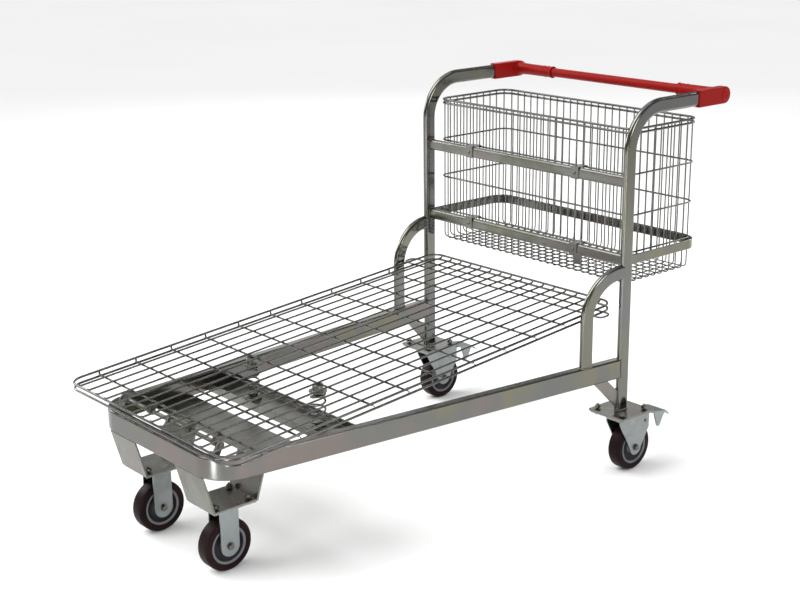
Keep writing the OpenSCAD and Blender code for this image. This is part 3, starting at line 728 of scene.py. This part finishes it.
class CART_OT_tubes(bpy.types.Operator):
    """Bent tubes: uprights, braces, cross bars, base frame and the hoop round the basket"""

    bl_idname = "cart.tubes"
    bl_label = "Tubes"

    def execute(self, context):
        for node in ("upright_left", "upright_right", "brace_left", "brace_right"):
            cad_piece(node, zinc_tube, "zinc_steel", width=0, sharp=40)
        for node in ("upper_cross_bar", "lower_cross_bar"):
            cad_piece(node, zinc_sheet, "zinc_steel", width=0, sharp=40)
        cad_piece("basket_hoop", zinc_rail, "zinc_steel", width=1.6 * MM)
        self.base_rail()
        return {"FINISHED"}

    def base_rail(self):
        """The box-section rail, bent round the nose, with its rolled outer corners."""
        low, high = RAIL
        radius, bend_steps = 85 * MM, 16
        centre = Vector((0, low.y + radius))
        centre.x = RAIL_X - (FRONT_EDGE - centre.y) * math.tan(SPLAY) - radius / math.cos(SPLAY)
        out = Vector((math.cos(SPLAY), -math.sin(SPLAY), 0))
        stations = [(Vector((RAIL_X, FRONT_EDGE + 1 * MM, low.z)), -out)]
        for k in range(bend_steps + 1):
            a = -SPLAY + (-math.pi / 2 + SPLAY) * k / bend_steps
            side = Vector((math.cos(a), math.sin(a), 0))
            stations.append((Vector((centre.x, centre.y, low.z)) + side * radius, -side))
        mirrored = [(Vector((-o.x, o.y, o.z)), Vector((-s.x, s.y, s.z))) for o, s in reversed(stations)]
        up = Vector((0, 0, 1))
        path = [(o, s, up) for o, s in stations + mirrored]
        section = rounded_rectangle(RAIL_WIDE, high.z - low.z, sizes().tube_corner)
        mesh = sweep("base_rail", path, section, zinc_rail)
        weighted(place("base_rail", mesh, BODY["base_frame"], "zinc_steel", ["base_frame"]))


class CART_OT_plates(bpy.types.Operator):
    """Sheet and plate pieces: foot plates, gussets, saddles, channel, seats, lugs, straps and clips"""

    bl_idname = "cart.plates"
    bl_label = "Plates and brackets"

    def execute(self, context):
        for node in ("gussets", "foot_plates", "saddle_brackets", "front_cross_plate", "spring_channel",
                     "spring_seats", "hinge_lugs", "hinge_straps", "spring_caps", "basket_clips"):
            cad_piece(node, zinc_sheet, "zinc_steel")
        for node in ("hinge_rod", "handle_bar"):
            cad_piece(node, zinc_sheet, "zinc_steel", width=0.5 * MM)
        return {"FINISHED"}


class CART_OT_deck(bpy.types.Operator):
    """Sprung wire deck: rim wires, long wires and cross wires with upturned ends, and the stop wire"""

    bl_idname = "cart.deck"
    bl_label = "Wire deck"

    def execute(self, context):
        s = sizes()
        turn = Matrix.Translation((0, HINGE.y, HINGE.z)) @ Matrix.Rotation(s.deck_slope, 4, "X")
        half = 338 * MM
        low, mesh_w, rim = 12 * MM, 17.2 * MM, 26 * MM
        long_w = mesh_w + 4.8 * MM
        front = (3 * MM + CAD_BOX[0].y - HINGE.y + rim * math.sin(s.deck_slope)) / math.cos(s.deck_slope)
        rear = 1117 * MM
        corner, wire_bend = 35 * MM, 6 * MM
        rims = (("deck_rim_wire", rim, "deck_rim"), ("deck_low_wire", low, "deck_side_wire"))
        for name, level, node in rims:
            loop = rectangle(half, front, rear, level)
            mesh = wires(name, [loop], s.rim_wire, corner, closed=True, turn=turn, sides=14)
            place(name, mesh, "load_deck", "wire", [node])
        inset = 5.6 * MM
        inner = half - inset
        pitch = 2 * half / (s.deck_long + 1)
        start, end = front + inset, rear - inset
        x0 = pitch - half
        path = hanger((x0, start), (x0, end), rim, long_w)
        mesh = wires("deck_long", [path], s.deck_wire, wire_bend, turn=turn, count=s.deck_long,
                     step=(pitch, 0, 0))
        place("deck_long_piece", mesh, "load_deck", "wire", ["deck_long_wires"])
        first, step = 14 * MM, 103 * MM
        path = hanger((-inner, first), (inner, first), rim, mesh_w)
        along = turn.to_3x3() @ Vector((0, step, 0))
        mesh = wires("deck_cross", [path], s.deck_wire, wire_bend, turn=turn, count=s.deck_cross, step=along)
        place("deck_cross_piece", mesh, "load_deck", "wire", ["deck_cross_wires"])
        reach, gap, middle = 373.5 * MM, 18 * MM, 1050 * MM
        loop = rectangle(reach, middle - gap, middle + gap, mesh_w)
        mesh = wires("deck_stop", [loop], s.deck_wire, 14 * MM, closed=True, turn=turn)
        place("deck_stop_piece", mesh, "load_deck", "wire", ["deck_stop_wire"])
        rows = [first + step * k for k in range(s.deck_cross)] + [middle - gap, middle + gap]
        columns = [pitch * (k + 1) - half for k in range(s.deck_long)]
        spots = [[(x, y, mesh_w + 2.4 * MM)] for x in columns for y in rows]
        spots += [[(side * (half - 2.6 * MM), y, w)]
                  for y in rows[:-2] for side in (-1, 1) for w in (low + 4 * MM, rim)]
        mesh = grow("deck_welds", lines("deck_welds", spots, turn=turn), spot_tree, weld_metal,
                    Radius=2.1 * MM, Seed=4)
        place("deck_welds", mesh, "load_deck", "wire")
        return {"FINISHED"}


class CART_OT_basket(bpy.types.Operator):
    """Wire basket: double rim, level rings, and wires that run down, under and up again"""

    bl_idname = "cart.basket"
    bl_label = "Wire basket"

    def execute(self, context):
        s = sizes()
        low, high = BASKET
        half_w, half_d = (high.x - low.x - s.ring_wire) / 2, (high.y - low.y - s.ring_wire) / 2
        middle = (high.y + low.y) / 2
        corner, wire_bend = 30 * MM, 12 * MM
        long_pitch, side_pitch = 25.6 * MM, 26 * MM
        middle_ring = 674 * MM
        weld_out = 1.8 * MM

        def loop(z):
            """A level loop round the basket."""
            return rectangle(half_w, middle - half_d, middle + half_d, z)

        top = BASKET_RIM[1].z - s.rim_wire / 2
        rims = [top, top - 10 * MM]
        mesh = wires("basket_rim_wires", [loop(z) for z in rims], s.rim_wire, corner, closed=True, sides=14)
        place("basket_rim_piece", mesh, "cart_frame", "wire", ["basket_rim"])
        levels = [high.z - s.ring_wire / 2, middle_ring, low.z + s.ring_wire / 2]
        rings = [loop(z) for z in levels]
        mesh = wires("basket_ring_wires", rings, s.ring_wire, corner, closed=True, sides=12)
        place("basket_rings_piece", mesh, "cart_frame", "wire", ["basket_rings"])
        inset = (s.ring_wire + s.basket_wire) / 2 - BEDDING

        def past(x, half):
            """How far the rings' corner pulls a wire in at this distance from the middle."""
            over = abs(x) - (half - corner)
            return corner - math.sqrt(corner**2 - over**2) if over > 0 else 0.0

        floor_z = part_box("basket_long_wires")[0].z + s.basket_wire / 2
        paths, spots = [], []
        for k in range(s.basket_long):
            x = (k - (s.basket_long - 1) / 2) * long_pitch
            reach = half_d - inset - past(x, half_w)
            paths.append(hanger((x, middle - reach), (x, middle + reach), top, floor_z))
            spots += [[(x, middle + side * (reach + weld_out), level)]
                      for side in (-1, 1) for level in levels + rims]
        mesh = wires("basket_long", paths, s.basket_wire, wire_bend, sides=10, make=upright_wire)
        place("basket_long_piece", mesh, "cart_frame", "wire", ["basket_long_wires"])
        paths = []
        for k in range(s.basket_side):
            y = (k - (s.basket_side - 1) / 2) * side_pitch
            reach = half_w - inset - past(y, half_d)
            z = floor_z + s.basket_wire - BEDDING
            paths.append(hanger((-reach, middle + y), (reach, middle + y), top, z))
            spots += [[(side * (reach + weld_out), middle + y, level)]
                      for side in (-1, 1) for level in levels + rims]
        mesh = wires("basket_side", paths, s.basket_wire, wire_bend, sides=10, make=upright_wire)
        place("basket_side_piece", mesh, "cart_frame", "wire", ["basket_side_wires"])
        mesh = grow("basket_welds", lines("basket_welds", spots), spot_tree, weld_metal, Radius=1.5 * MM,
                    Seed=9)
        place("basket_welds", mesh, "cart_frame", "wire")
        return {"FINISHED"}


class CART_OT_springs(bpy.types.Operator):
    """Two coil springs with closed ends under the deck"""

    bl_idname = "cart.springs"
    bl_label = "Deck springs"

    def execute(self, context):
        low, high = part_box("deck_springs")
        wire, turns = 5 * MM, 4.5
        radius = (high.y - low.y) / 2 - wire / 2
        y = (low.y + high.y) / 2
        x = high.x - radius - wire / 2
        bottom, top = low.z + wire / 2, high.z - wire / 2
        steps = int(turns * 28)
        paths = []
        for side in (-1, 1):
            path = []
            for k in range(steps + 1):
                t = k / steps
                angle = 2 * math.pi * turns * t
                z = bottom + (top - bottom) * self.rise(t)
                path.append((side * x + radius * math.cos(angle), y + radius * math.sin(angle), z))
            paths.append(path)
        mesh = wires("deck_spring_coils", paths, wire, 3 * MM, sides=12, make=spring_wire)
        coils = place("deck_spring_coils", mesh, None, "spring_steel", ["deck_springs"])
        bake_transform(coils)
        return {"FINISHED"}

    def rise(self, t):
        """Share of the height reached at share t of the wire: slow in the closed coils at either end."""
        closed, closed_rise = 0.13, 0.06
        if t < closed:
            return closed_rise * t / closed
        if t > 1 - closed:
            return 1 - closed_rise + closed_rise * (t - 1 + closed) / closed
        return closed_rise + (1 - 2 * closed_rise) * (t - closed) / (1 - 2 * closed)


class CART_OT_wheels(bpy.types.Operator):
    """Four wheels: cast tyre, moulded core with painted shade in its recess, and a pair of ball bearings"""

    bl_idname = "cart.wheels"
    bl_label = "Wheels"

    def execute(self, context):
        for end, centre in (("front", FRONT_WHEEL), ("rear", REAR_WHEEL)):
            for side, sign in SIDES:
                self.wheel(f"{end}_{side}", Vector((sign * centre.x, centre.y, centre.z)))
        return {"FINISHED"}

    def wheel(self, name, centre):
        """One wheel about its own centre."""
        body = "wheel_" + name
        low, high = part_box("tyre_" + name)
        outer, half = (high.z - low.z) / 2, (high.x - low.x) / 2
        rim = 46 * MM
        shoulder = 7.5 * MM
        tread = [(rim, -half, 0), (outer - shoulder, -half, 0)]
        for side, start in ((-1, -90), (1, 0)):
            middle = side * (half - shoulder)
            for k in range(8):
                a = math.radians(start + 90 * (k + 0.5) / 8)
                tread.append((outer - shoulder + shoulder * math.cos(a), middle + shoulder * math.sin(a), 0))
        tread += [(outer - shoulder, half, 0), (rim, half, 0)]
        mesh = turned("tyre_piece", tread, [tyre_polyurethane], centre, steps=128)
        place(f"tyre_{name}_piece", mesh, body, "tyre", ["tyre_" + name])
        hub = 20 * MM
        # Entries with material 1 are the core's recess, which takes the dark web colour as painted shade.
        near = [(13, 20, 0), (17.5, 20, 0), (18.5, 19, 0), (19.5, 10, 1), (21, 8, 1), (33, 7, 1),
                (36, 8.5, 1), (39.5, 16, 0), (40.2, 17.6, 0), (41, 18, 0), (45.4, 18, 0), (46, 17.4, 0)]
        profile = [(r * MM, -x * MM, m) for r, x, m in near]
        profile += [(r * MM, x * MM, m) for r, x, m in reversed(near)]
        for k in range(len(near), len(profile) - 1):
            profile[k] = (*profile[k][:2], near[2 * len(near) - 2 - k][2])
        mesh = turned("core_piece", profile, [core_nylon, dark_nylon_and_web_shade], centre, steps=96, sharp=50)
        place(f"core_{name}_piece", mesh, body, "wheel_core", ["core_" + name])
        parts = []
        for sign in (-1, 1):
            face = sign * hub
            back = sign * (hub - 9 * MM)
            shield, chamfer = face - sign * 0.6 * MM, face - sign * 0.4 * MM
            ring = [(4.06, back, 0), (4.06, face, 0), (6.6, face, 0), (6.9, shield, 1), (10.6, shield, 1),
                    (10.9, face, 0), (12.7, face, 0), (13, chamfer, 0), (13, back, 0)]
            parts.append(turned("bearing", [(r * MM, x, m) for r, x, m in ring], [bearing_steel, dark_nylon_and_web_shade],
                                centre, steps=48))
        mesh = join("bearings", parts)
        place(f"bearings_{name}_piece", mesh, body, "bearing_steel", ["bearings_" + name])


class CART_OT_castors(bpy.types.Operator):
    """Castor plates, forks, swivel races, king pins, axles and brake pedals"""

    bl_idname = "cart.castors"
    bl_label = "Castors and brakes"

    def execute(self, context):
        for node in ("front_castor_plates", "front_forks", "rear_castor_plates", "fork_rear_left",
                     "fork_rear_right", "pedal_left", "pedal_right"):
            cad_piece(node, castor_pressing, "zinc_steel", width=0.8 * MM)
        cad_piece("king_pins", fastener_zinc, "zinc_steel", width=0.5 * MM)
        self.races()
        self.axles()
        self.shoes()
        return {"FINISHED"}

    def races(self):
        """A rolled ball race on each of the two swivel heads, just under the top of the fork."""
        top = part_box("fork_rear_right")[1].z
        for side, sign in SIDES:
            centre = Vector((sign * UPRIGHT_X, UPRIGHT_Y, 0))
            crown = [(26, -7, 0), (33.5, -7, 0), (36, -5.5, 0), (36.6, -3.5, 0), (35, -1.2, 0), (31, -0.2, 0),
                     (26, -0.2, 0)]
            centre.z = top
            mesh = turned("swivel_race", in_mm(crown), [castor_pressing], centre, steps=64, axis="Z")
            place(f"swivel_race_{side}", mesh, "castor_" + side, "zinc_steel")

    def shoes(self):
        """Rubber brake shoes between the pedal's cheeks, just clear of the tyre."""
        for side, sign in SIDES:
            roll = [(0, -17, 0), (4, -17, 0), (5, -16, 0), (5, 16, 0), (4, 17, 0), (0, 17, 0)]
            centre = Vector((sign * UPRIGHT_X, UPRIGHT_Y + 88 * MM, 116 * MM))
            mesh = turned("brake_shoe", in_mm(roll), [dark_nylon_and_web_shade], centre, steps=24)
            place(f"brake_shoe_{side}", mesh, "brake_" + side, "tyre")

    def axles(self):
        """Hexagon bolts with washers and lock nuts through each fork."""
        reach = 24 * MM
        head = hexagon_head(13 * MM, 5.3 * MM, 9.5 * MM, 1.4 * MM)
        quarter = math.radians(90)
        shank = turned("axle_shank", [(4 * MM, -reach, 0), (4 * MM, reach, 0), (0, reach, 0), (0, -reach, 0)],
                       [fastener_zinc], Vector(), steps=24)
        rivet_form = [(0, -27, 0), (4, -26, 0), (4.6, -24, 0), (3, -24, 0), (3, 24, 0), (4.6, 24, 0),
                      (4, 26, 0), (0, 27, 0)]
        for end, centre in (("front", FRONT_WHEEL), ("rear", REAR_WHEEL)):
            pieces = {}
            for side, sign in SIDES:
                middle = Matrix.Translation((sign * centre.x, centre.y, centre.z))
                right = middle @ Matrix.Translation((reach, 0, 0)) @ Matrix.Rotation(quarter, 4, "Y")
                left = middle @ Matrix.Translation((-reach, 0, 0)) @ Matrix.Rotation(-quarter, 4, "Y")
                parts = [(head, right), (head, left), (shank, middle)]
                if end == "rear":
                    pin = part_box("axle_rear_" + side)
                    pin_y, pin_z = pin[1].y - 3 * MM, pin[1].z - 3 * MM
                    rivet = turned("pedal_rivet", in_mm(rivet_form), [fastener_zinc], Vector(), steps=24)
                    parts.append((rivet, Matrix.Translation((sign * centre.x, pin_y, pin_z))))
                pieces[side] = parts
            if end == "front":
                mesh = paint(stacked(*pieces["left"], *pieces["right"]), fastener_zinc)
                place("front_axles_piece", mesh, "cart_frame", "fasteners", ["front_axles"])
                continue
            for side, parts in pieces.items():
                mesh = paint(stacked(*parts), fastener_zinc)
                place(f"axle_rear_{side}_piece", mesh, "castor_" + side, "fasteners", ["axle_rear_" + side])


class CART_OT_fasteners(bpy.types.Operator):
    """Castor bolts with washers and nuts, and the screws of the basket clips"""

    bl_idname = "cart.fasteners"
    bl_label = "Bolts and screws"

    def execute(self, context):
        low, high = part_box("castor_bolts")
        head = hexagon_head(13 * MM, 4.8 * MM, 7.6 * MM, 0.01 * MM)
        nut = hexagon_head(13 * MM, 5.3 * MM, 8.4 * MM, 1.2 * MM)
        flip = Matrix.Rotation(math.pi, 4, "X")
        patterns = (("front", FRONT_WHEEL.x, FRONT_WHEEL.y, 74 * MM, 88 * MM, high.z - 12 * MM),
                    ("rear", UPRIGHT_X, UPRIGHT_Y, 84 * MM, 84 * MM, high.z - 10 * MM))
        bolts, nuts = [], []
        for end, x, y, wide, long, seat in patterns:
            under = low.z + 5 * MM
            thread = screw_end(4 * MM, seat + 10 * MM - under)
            lift = Matrix.Translation((0, 0, under))
            bolt = stacked((head, lift @ flip), (thread, lift))
            for drawn, level, kept in ((bolt, 0.0, bolts), (nut, seat, nuts)):
                kept.append(grow(f"{end}_pattern", drawn.copy(), bolt_tree, fastener_zinc, Spacing_X=wide,
                                 Spacing_Y=long, Centre_X=x, Centre_Y=y, Height=level))
        place("castor_bolts_piece", join("castor_bolts", bolts), "cart_frame", "fasteners", ["castor_bolts"])
        place("castor_nuts_piece", join("castor_nuts", nuts), "cart_frame", "fasteners", ["castor_nuts"])
        self.clip_screws()
        return {"FINISHED"}

    def clip_screws(self):
        """Pan-head screws with a driver recess."""
        low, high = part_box("clip_screws")
        radius = 4.5 * MM
        dome = [(0, -1.6, 0), (1.2, -1.6, 0), (1.4, -2.9, 0), (3.0, -2.5, 0), (4.1, -1.4, 0), (4.5, -0.3, 0),
                (4.5, 0, 0), (2.5, 0, 0), (2.5, 9.9, 0), (0, 9.9, 0)]
        face = low.y + 3 * MM
        parts = []
        for x in (low.x + radius, high.x - radius):
            for z in (low.z + radius, high.z - radius):
                spot = Vector((x, face, z))
                parts.append(turned("screw", in_mm(dome), [fastener_zinc], spot, steps=24, axis="Y"))
        place("clip_screws_piece", join("clip_screws", parts), "cart_frame", "fasteners", ["clip_screws"])


class CART_OT_handle(bpy.types.Operator):
    """Red handle: moulded corners that sleeve the arms, ribbed collars and the grip tube"""

    bl_idname = "cart.handle"
    bl_label = "Handle"

    def execute(self, context):
        for side, sign in SIDES:
            self.corner(side, sign)
        low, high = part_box("handle_grip")
        r = (high.z - low.z) / 2
        half = high.x
        core_r, end_band = 11 * MM, 2 * MM
        profile = [(core_r, -half, 0), (r, -half, 0), (r, -half + end_band, 0), (r, half - end_band, 0),
                   (r, half, 0), (core_r, half, 0)]
        mesh = turned("grip", profile, [red_plastic], HANDLE, steps=64)
        place("handle_grip_piece", mesh, "cart_frame", "red_plastic", ["handle_grip"])
        return {"FINISHED"}

    def corner(self, side, sign):
        """A flat sleeve with a round end, a collar towards the grip, blended by remeshing."""
        node = "handle_corner_" + side
        low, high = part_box(node)
        bm = bmesh.new()
        start = low.y
        half_h, half_t = 22 * MM, 11 * MM
        centre_x = sign * UPRIGHT_X
        outline = [(start, HANDLE.z - half_h), (start, HANDLE.z + half_h)]
        for k in range(17):
            a = math.radians(90 - 180 * k / 16)
            outline.append((HANDLE.y + half_h * math.cos(a), HANDLE.z + half_h * math.sin(a)))
        near, far = ([bm.verts.new((centre_x + t, y, z)) for y, z in outline] for t in (-half_t, half_t))
        skin(bm, [near, far])
        bm.faces.new(near)
        bm.faces.new(list(reversed(far)))
        bmesh.ops.recalc_face_normals(bm, faces=bm.faces)
        sleeve = to_mesh(node, bm)
        inner = min(abs(low.x), abs(high.x))
        lip = [(0, 0), (16.2, 0), (17, 1), (17, 5), (15.4, 7), (15.6, 10)]
        flare = [(16, 50), (16.6, 26), (20, 12), (20, 0), (0, 0)]
        profile = [(r * MM, sign * (inner + x * MM), 0) for r, x in lip]
        profile += [(r * MM, sign * (UPRIGHT_X - x * MM), 0) for r, x in flare]
        tube = turned("collar", profile, [red_plastic], Vector((0, HANDLE.y, HANDLE.z)), steps=48)
        made = place(node + "_piece", join(node, [sleeve, tube]), "cart_frame", "red_plastic", [node])
        remesh = made.modifiers.new("Blend", "REMESH")
        remesh.mode = "VOXEL"
        remesh.voxel_size = 1.3 * MM
        remesh.use_smooth_shade = True
        smooth = made.modifiers.new("Soften", "SMOOTH")
        smooth.factor = 0.5
        smooth.iterations = 5
        bpy.context.view_layer.update()
        seen = made.evaluated_get(bpy.context.evaluated_depsgraph_get())
        blended = bpy.data.meshes.new_from_object(seen)
        made.modifiers.clear()
        made.data = join(node, [blended, *self.details(sign)])
        made.data.polygons.foreach_set("use_smooth", [True] * len(made.data.polygons))

    def details(self, sign):
        """The stepped disc on the corner's outer face and the grip dots on its collar."""
        face = sign * (UPRIGHT_X + 10.6 * MM)
        steps = [(0, 0.9), (9.4, 0.9), (10.0, 1.5), (14.4, 1.5), (15.2, 0.9), (15.6, -0.5), (0, -0.5)]
        profile = [(r * MM, face + sign * h * MM, 0) for r, h in steps]
        disc = turned("disc", profile, [red_plastic], Vector((0, HANDLE.y, HANDLE.z)), steps=48)
        dots = []
        for row in range(3):
            for k in range(8):
                a = 2 * math.pi * (k + 0.5 * (row % 2)) / 8
                x = sign * (HANDLE_COLLAR + (16 + 9 * row) * MM)
                dots.append([(x, HANDLE.y + 15.5 * MM * math.cos(a), HANDLE.z + 15.5 * MM * math.sin(a))])
        return [disc, grow("dots", lines("dots", dots), spot_tree, red_plastic, Radius=1.5 * MM, Seed=3)]


class CART_OT_welds(bpy.types.Operator):
    """Weld beads where the tubes and plates meet"""

    bl_idname = "cart.welds"
    bl_label = "Weld beads"

    def execute(self, context):
        x_axis, y_axis, z_axis = Vector((1, 0, 0)), Vector((0, 1, 0)), Vector((0, 0, 1))
        loops, runs = [], []
        foot_z = UPRIGHT[0].z
        brace_run = 109 * MM
        bar_high, bar_deep = 30 * MM, 15 * MM
        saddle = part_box("saddle_brackets")
        gusset_drop = 30 * MM
        for _, sign in SIDES:
            x = sign * UPRIGHT_X
            loops.append(oval(UPRIGHT_LONG, UPRIGHT_THICK, Vector((x, UPRIGHT_Y, foot_z)), y_axis, x_axis))
            for bar in ("upper_cross_bar", "lower_cross_bar"):
                low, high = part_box(bar)
                end = Vector((sign * high.x, UPRIGHT_Y, (low.z + high.z) / 2))
                loops.append(oval(bar_high, bar_deep, end, z_axis, y_axis))
            along = Vector((sign * math.sin(SPLAY), math.cos(SPLAY), 0))
            across = Vector((math.cos(SPLAY), -sign * math.sin(SPLAY), 0))
            foot = Vector((x, FRONT_EDGE, RAIL[1].z)) - along * brace_run
            loops.append(oval(UPRIGHT_LONG, UPRIGHT_THICK, foot, along, across))
            for level in (RAIL[0].z, RAIL[1].z):
                runs.append([(x - 7 * MM, FRONT_EDGE + 5 * MM, level),
                             (x + 4 * MM, FRONT_EDGE + 1 * MM, level)])
            runs.append([(x + sign * 7.4 * MM, FRONT_EDGE + 5 * MM, RAIL[0].z + 2 * MM),
                         (x + sign * 7.4 * MM, FRONT_EDGE + 5 * MM, RAIL[1].z - 2 * MM)])
            for off in (-4 * MM, 4 * MM):
                y = FRONT_EDGE + 0.5 * MM
                runs.append([(x + off, y, RAIL[0].z - gusset_drop), (x + off, y, foot_z)])
            centre = sign * FRONT_WHEEL.x
            for y in (saddle[0].y + 1 * MM, saddle[1].y - 1 * MM):
                level = RAIL[0].z - 0.5 * MM
                runs.append([(centre - 50 * MM, y, level), (centre + 50 * MM, y, level)])
        leg = sizes().weld_leg
        parts = [grow("loops", lines("loops", loops, closed=True), bead_tree, weld_metal, Radius=leg, Seed=2),
                 grow("runs", lines("runs", runs), bead_tree, weld_metal, Radius=leg, Seed=5)]
        place("frame_welds", join("frame_welds", parts), "cart_frame", "zinc_steel")
        return {"FINISHED"}


class CART_OT_stage(bpy.types.Operator):
    """Pale floor, soft lights and the camera"""

    bl_idname = "cart.stage"
    bl_label = "Studio"

    def execute(self, context):
        mesh = bpy.data.meshes.new("floor")
        reach = 30.0
        mesh.from_pydata(rectangle(reach, -reach, reach, 0), [], [(0, 1, 2, 3)])
        paint(mesh, floor_paint)
        floor = bpy.data.objects.new("studio_floor", mesh)
        context.scene.collection.objects.link(floor)
        world = bpy.data.worlds.new("studio")
        context.scene.world = world
        world.use_nodes = True
        backdrop = world.node_tree.nodes["Background"]
        backdrop.inputs["Color"].default_value = linear(colours().sky)
        backdrop.inputs["Strength"].default_value = 0.36
        self.light("sky", "SUN", (-1.2, -1.6, 3.4), 2.7, math.radians(50))
        self.light("far_wall", "AREA", (-4.2, 3.6, 3.0), 34, 3.4)
        self.light("overhead", "AREA", (0.0, 0.3, 3.6), 30, 3.0)
        self.light("edge_strip", "AREA", (1.5, -0.6, 0.5), 4.5, 0.12, tall=1.0)
        self.light("nose_strip", "AREA", (0.35, -1.4, 0.3), 3.0, 0.16, tall=0.6)
        self.light("strip_right", "AREA", (3.6, 0.6, 1.9), 34, 1.2)
        self.light("strip_left", "AREA", (-3.4, -1.2, 1.7), 50, 1.0)
        self.light("strip_back", "AREA", (0.6, 3.6, 2.2), 50, 1.4)
        context.scene.view_settings.view_transform = "Standard"
        self.camera(context)
        return {"FINISHED"}

    def light(self, name, kind, spot, power, spread, tall=None):
        """One lamp that looks at the cart's middle; a tall one is an upright strip."""
        light = bpy.data.lights.new(name, kind)
        light.energy = power
        if kind == "SUN":
            light.angle = spread
        else:
            light.size = spread
        aim = Vector((0, 0, 0.45))
        if tall:
            light.shape = "RECTANGLE"
            light.size_y = tall
            aim.z = spot[2]
        lamp = bpy.data.objects.new(name, light)
        lamp.location = spot
        lamp.rotation_euler = (aim - Vector(spot)).to_track_quat("-Z", "Y").to_euler()
        lamp.visible_camera = False
        bpy.context.scene.collection.objects.link(lamp)

    def camera(self, context):
        """A standing viewer's three-quarter view from the nose and the cart's +X side."""
        data = bpy.data.cameras.new("camera")
        data.sensor_width = 36
        data.lens = 65.77
        data.clip_end = 100
        camera = bpy.data.objects.new("camera", data)
        ahead = Vector((-0.72498, 0.62491, -0.28963)).normalized()
        right = Vector((0.65512, 0.75546, -0.00987)).normalized()
        above = right.cross(ahead)
        turn = Matrix((right, above, -ahead)).transposed().to_4x4()
        camera.matrix_world = Matrix.Translation((2.6748, -2.3306, 1.5203)) @ turn
        context.scene.collection.objects.link(camera)
        context.scene.camera = camera


class CART_PT_panel(bpy.types.Panel):
    """Lists the cart's pieces"""

    bl_idname = "CART_PT_panel"
    bl_label = "Flatbed cart"
    bl_space_type = "VIEW_3D"
    bl_region_type = "UI"
    bl_category = "Cart"

    def draw(self, context):
        for group in (context.scene.cart_sizes, context.scene.cart_colours):
            for name in group.bl_rna.properties.keys():
                if name not in ("rna_type", "name"):
                    self.layout.prop(group, name)
        for operator in OPERATORS:
            self.layout.operator(operator.bl_idname)


OPERATORS = (CART_OT_stage, CART_OT_tubes, CART_OT_plates, CART_OT_deck, CART_OT_basket, CART_OT_springs,
             CART_OT_wheels, CART_OT_castors, CART_OT_fasteners, CART_OT_handle, CART_OT_welds)
CLASSES = (CartSizes, CartColours, *OPERATORS, CART_PT_panel)


def register():
    """Adds the operators, the panel and the scene's settings."""
    for item in CLASSES:
        bpy.utils.register_class(item)
    bpy.types.Scene.cart_sizes = bpy.props.PointerProperty(type=CartSizes)
    bpy.types.Scene.cart_colours = bpy.props.PointerProperty(type=CartColours)


def unregister():
    """Takes them away again."""
    del bpy.types.Scene.cart_sizes
    del bpy.types.Scene.cart_colours
    for item in reversed(CLASSES):
        bpy.utils.unregister_class(item)


def main():
    """Builds the cart and its stage."""
    register()
    for operator in OPERATORS:
        getattr(bpy.ops.cart, operator.bl_idname.split(".")[1])()


if __name__ == "__main__":
    main()
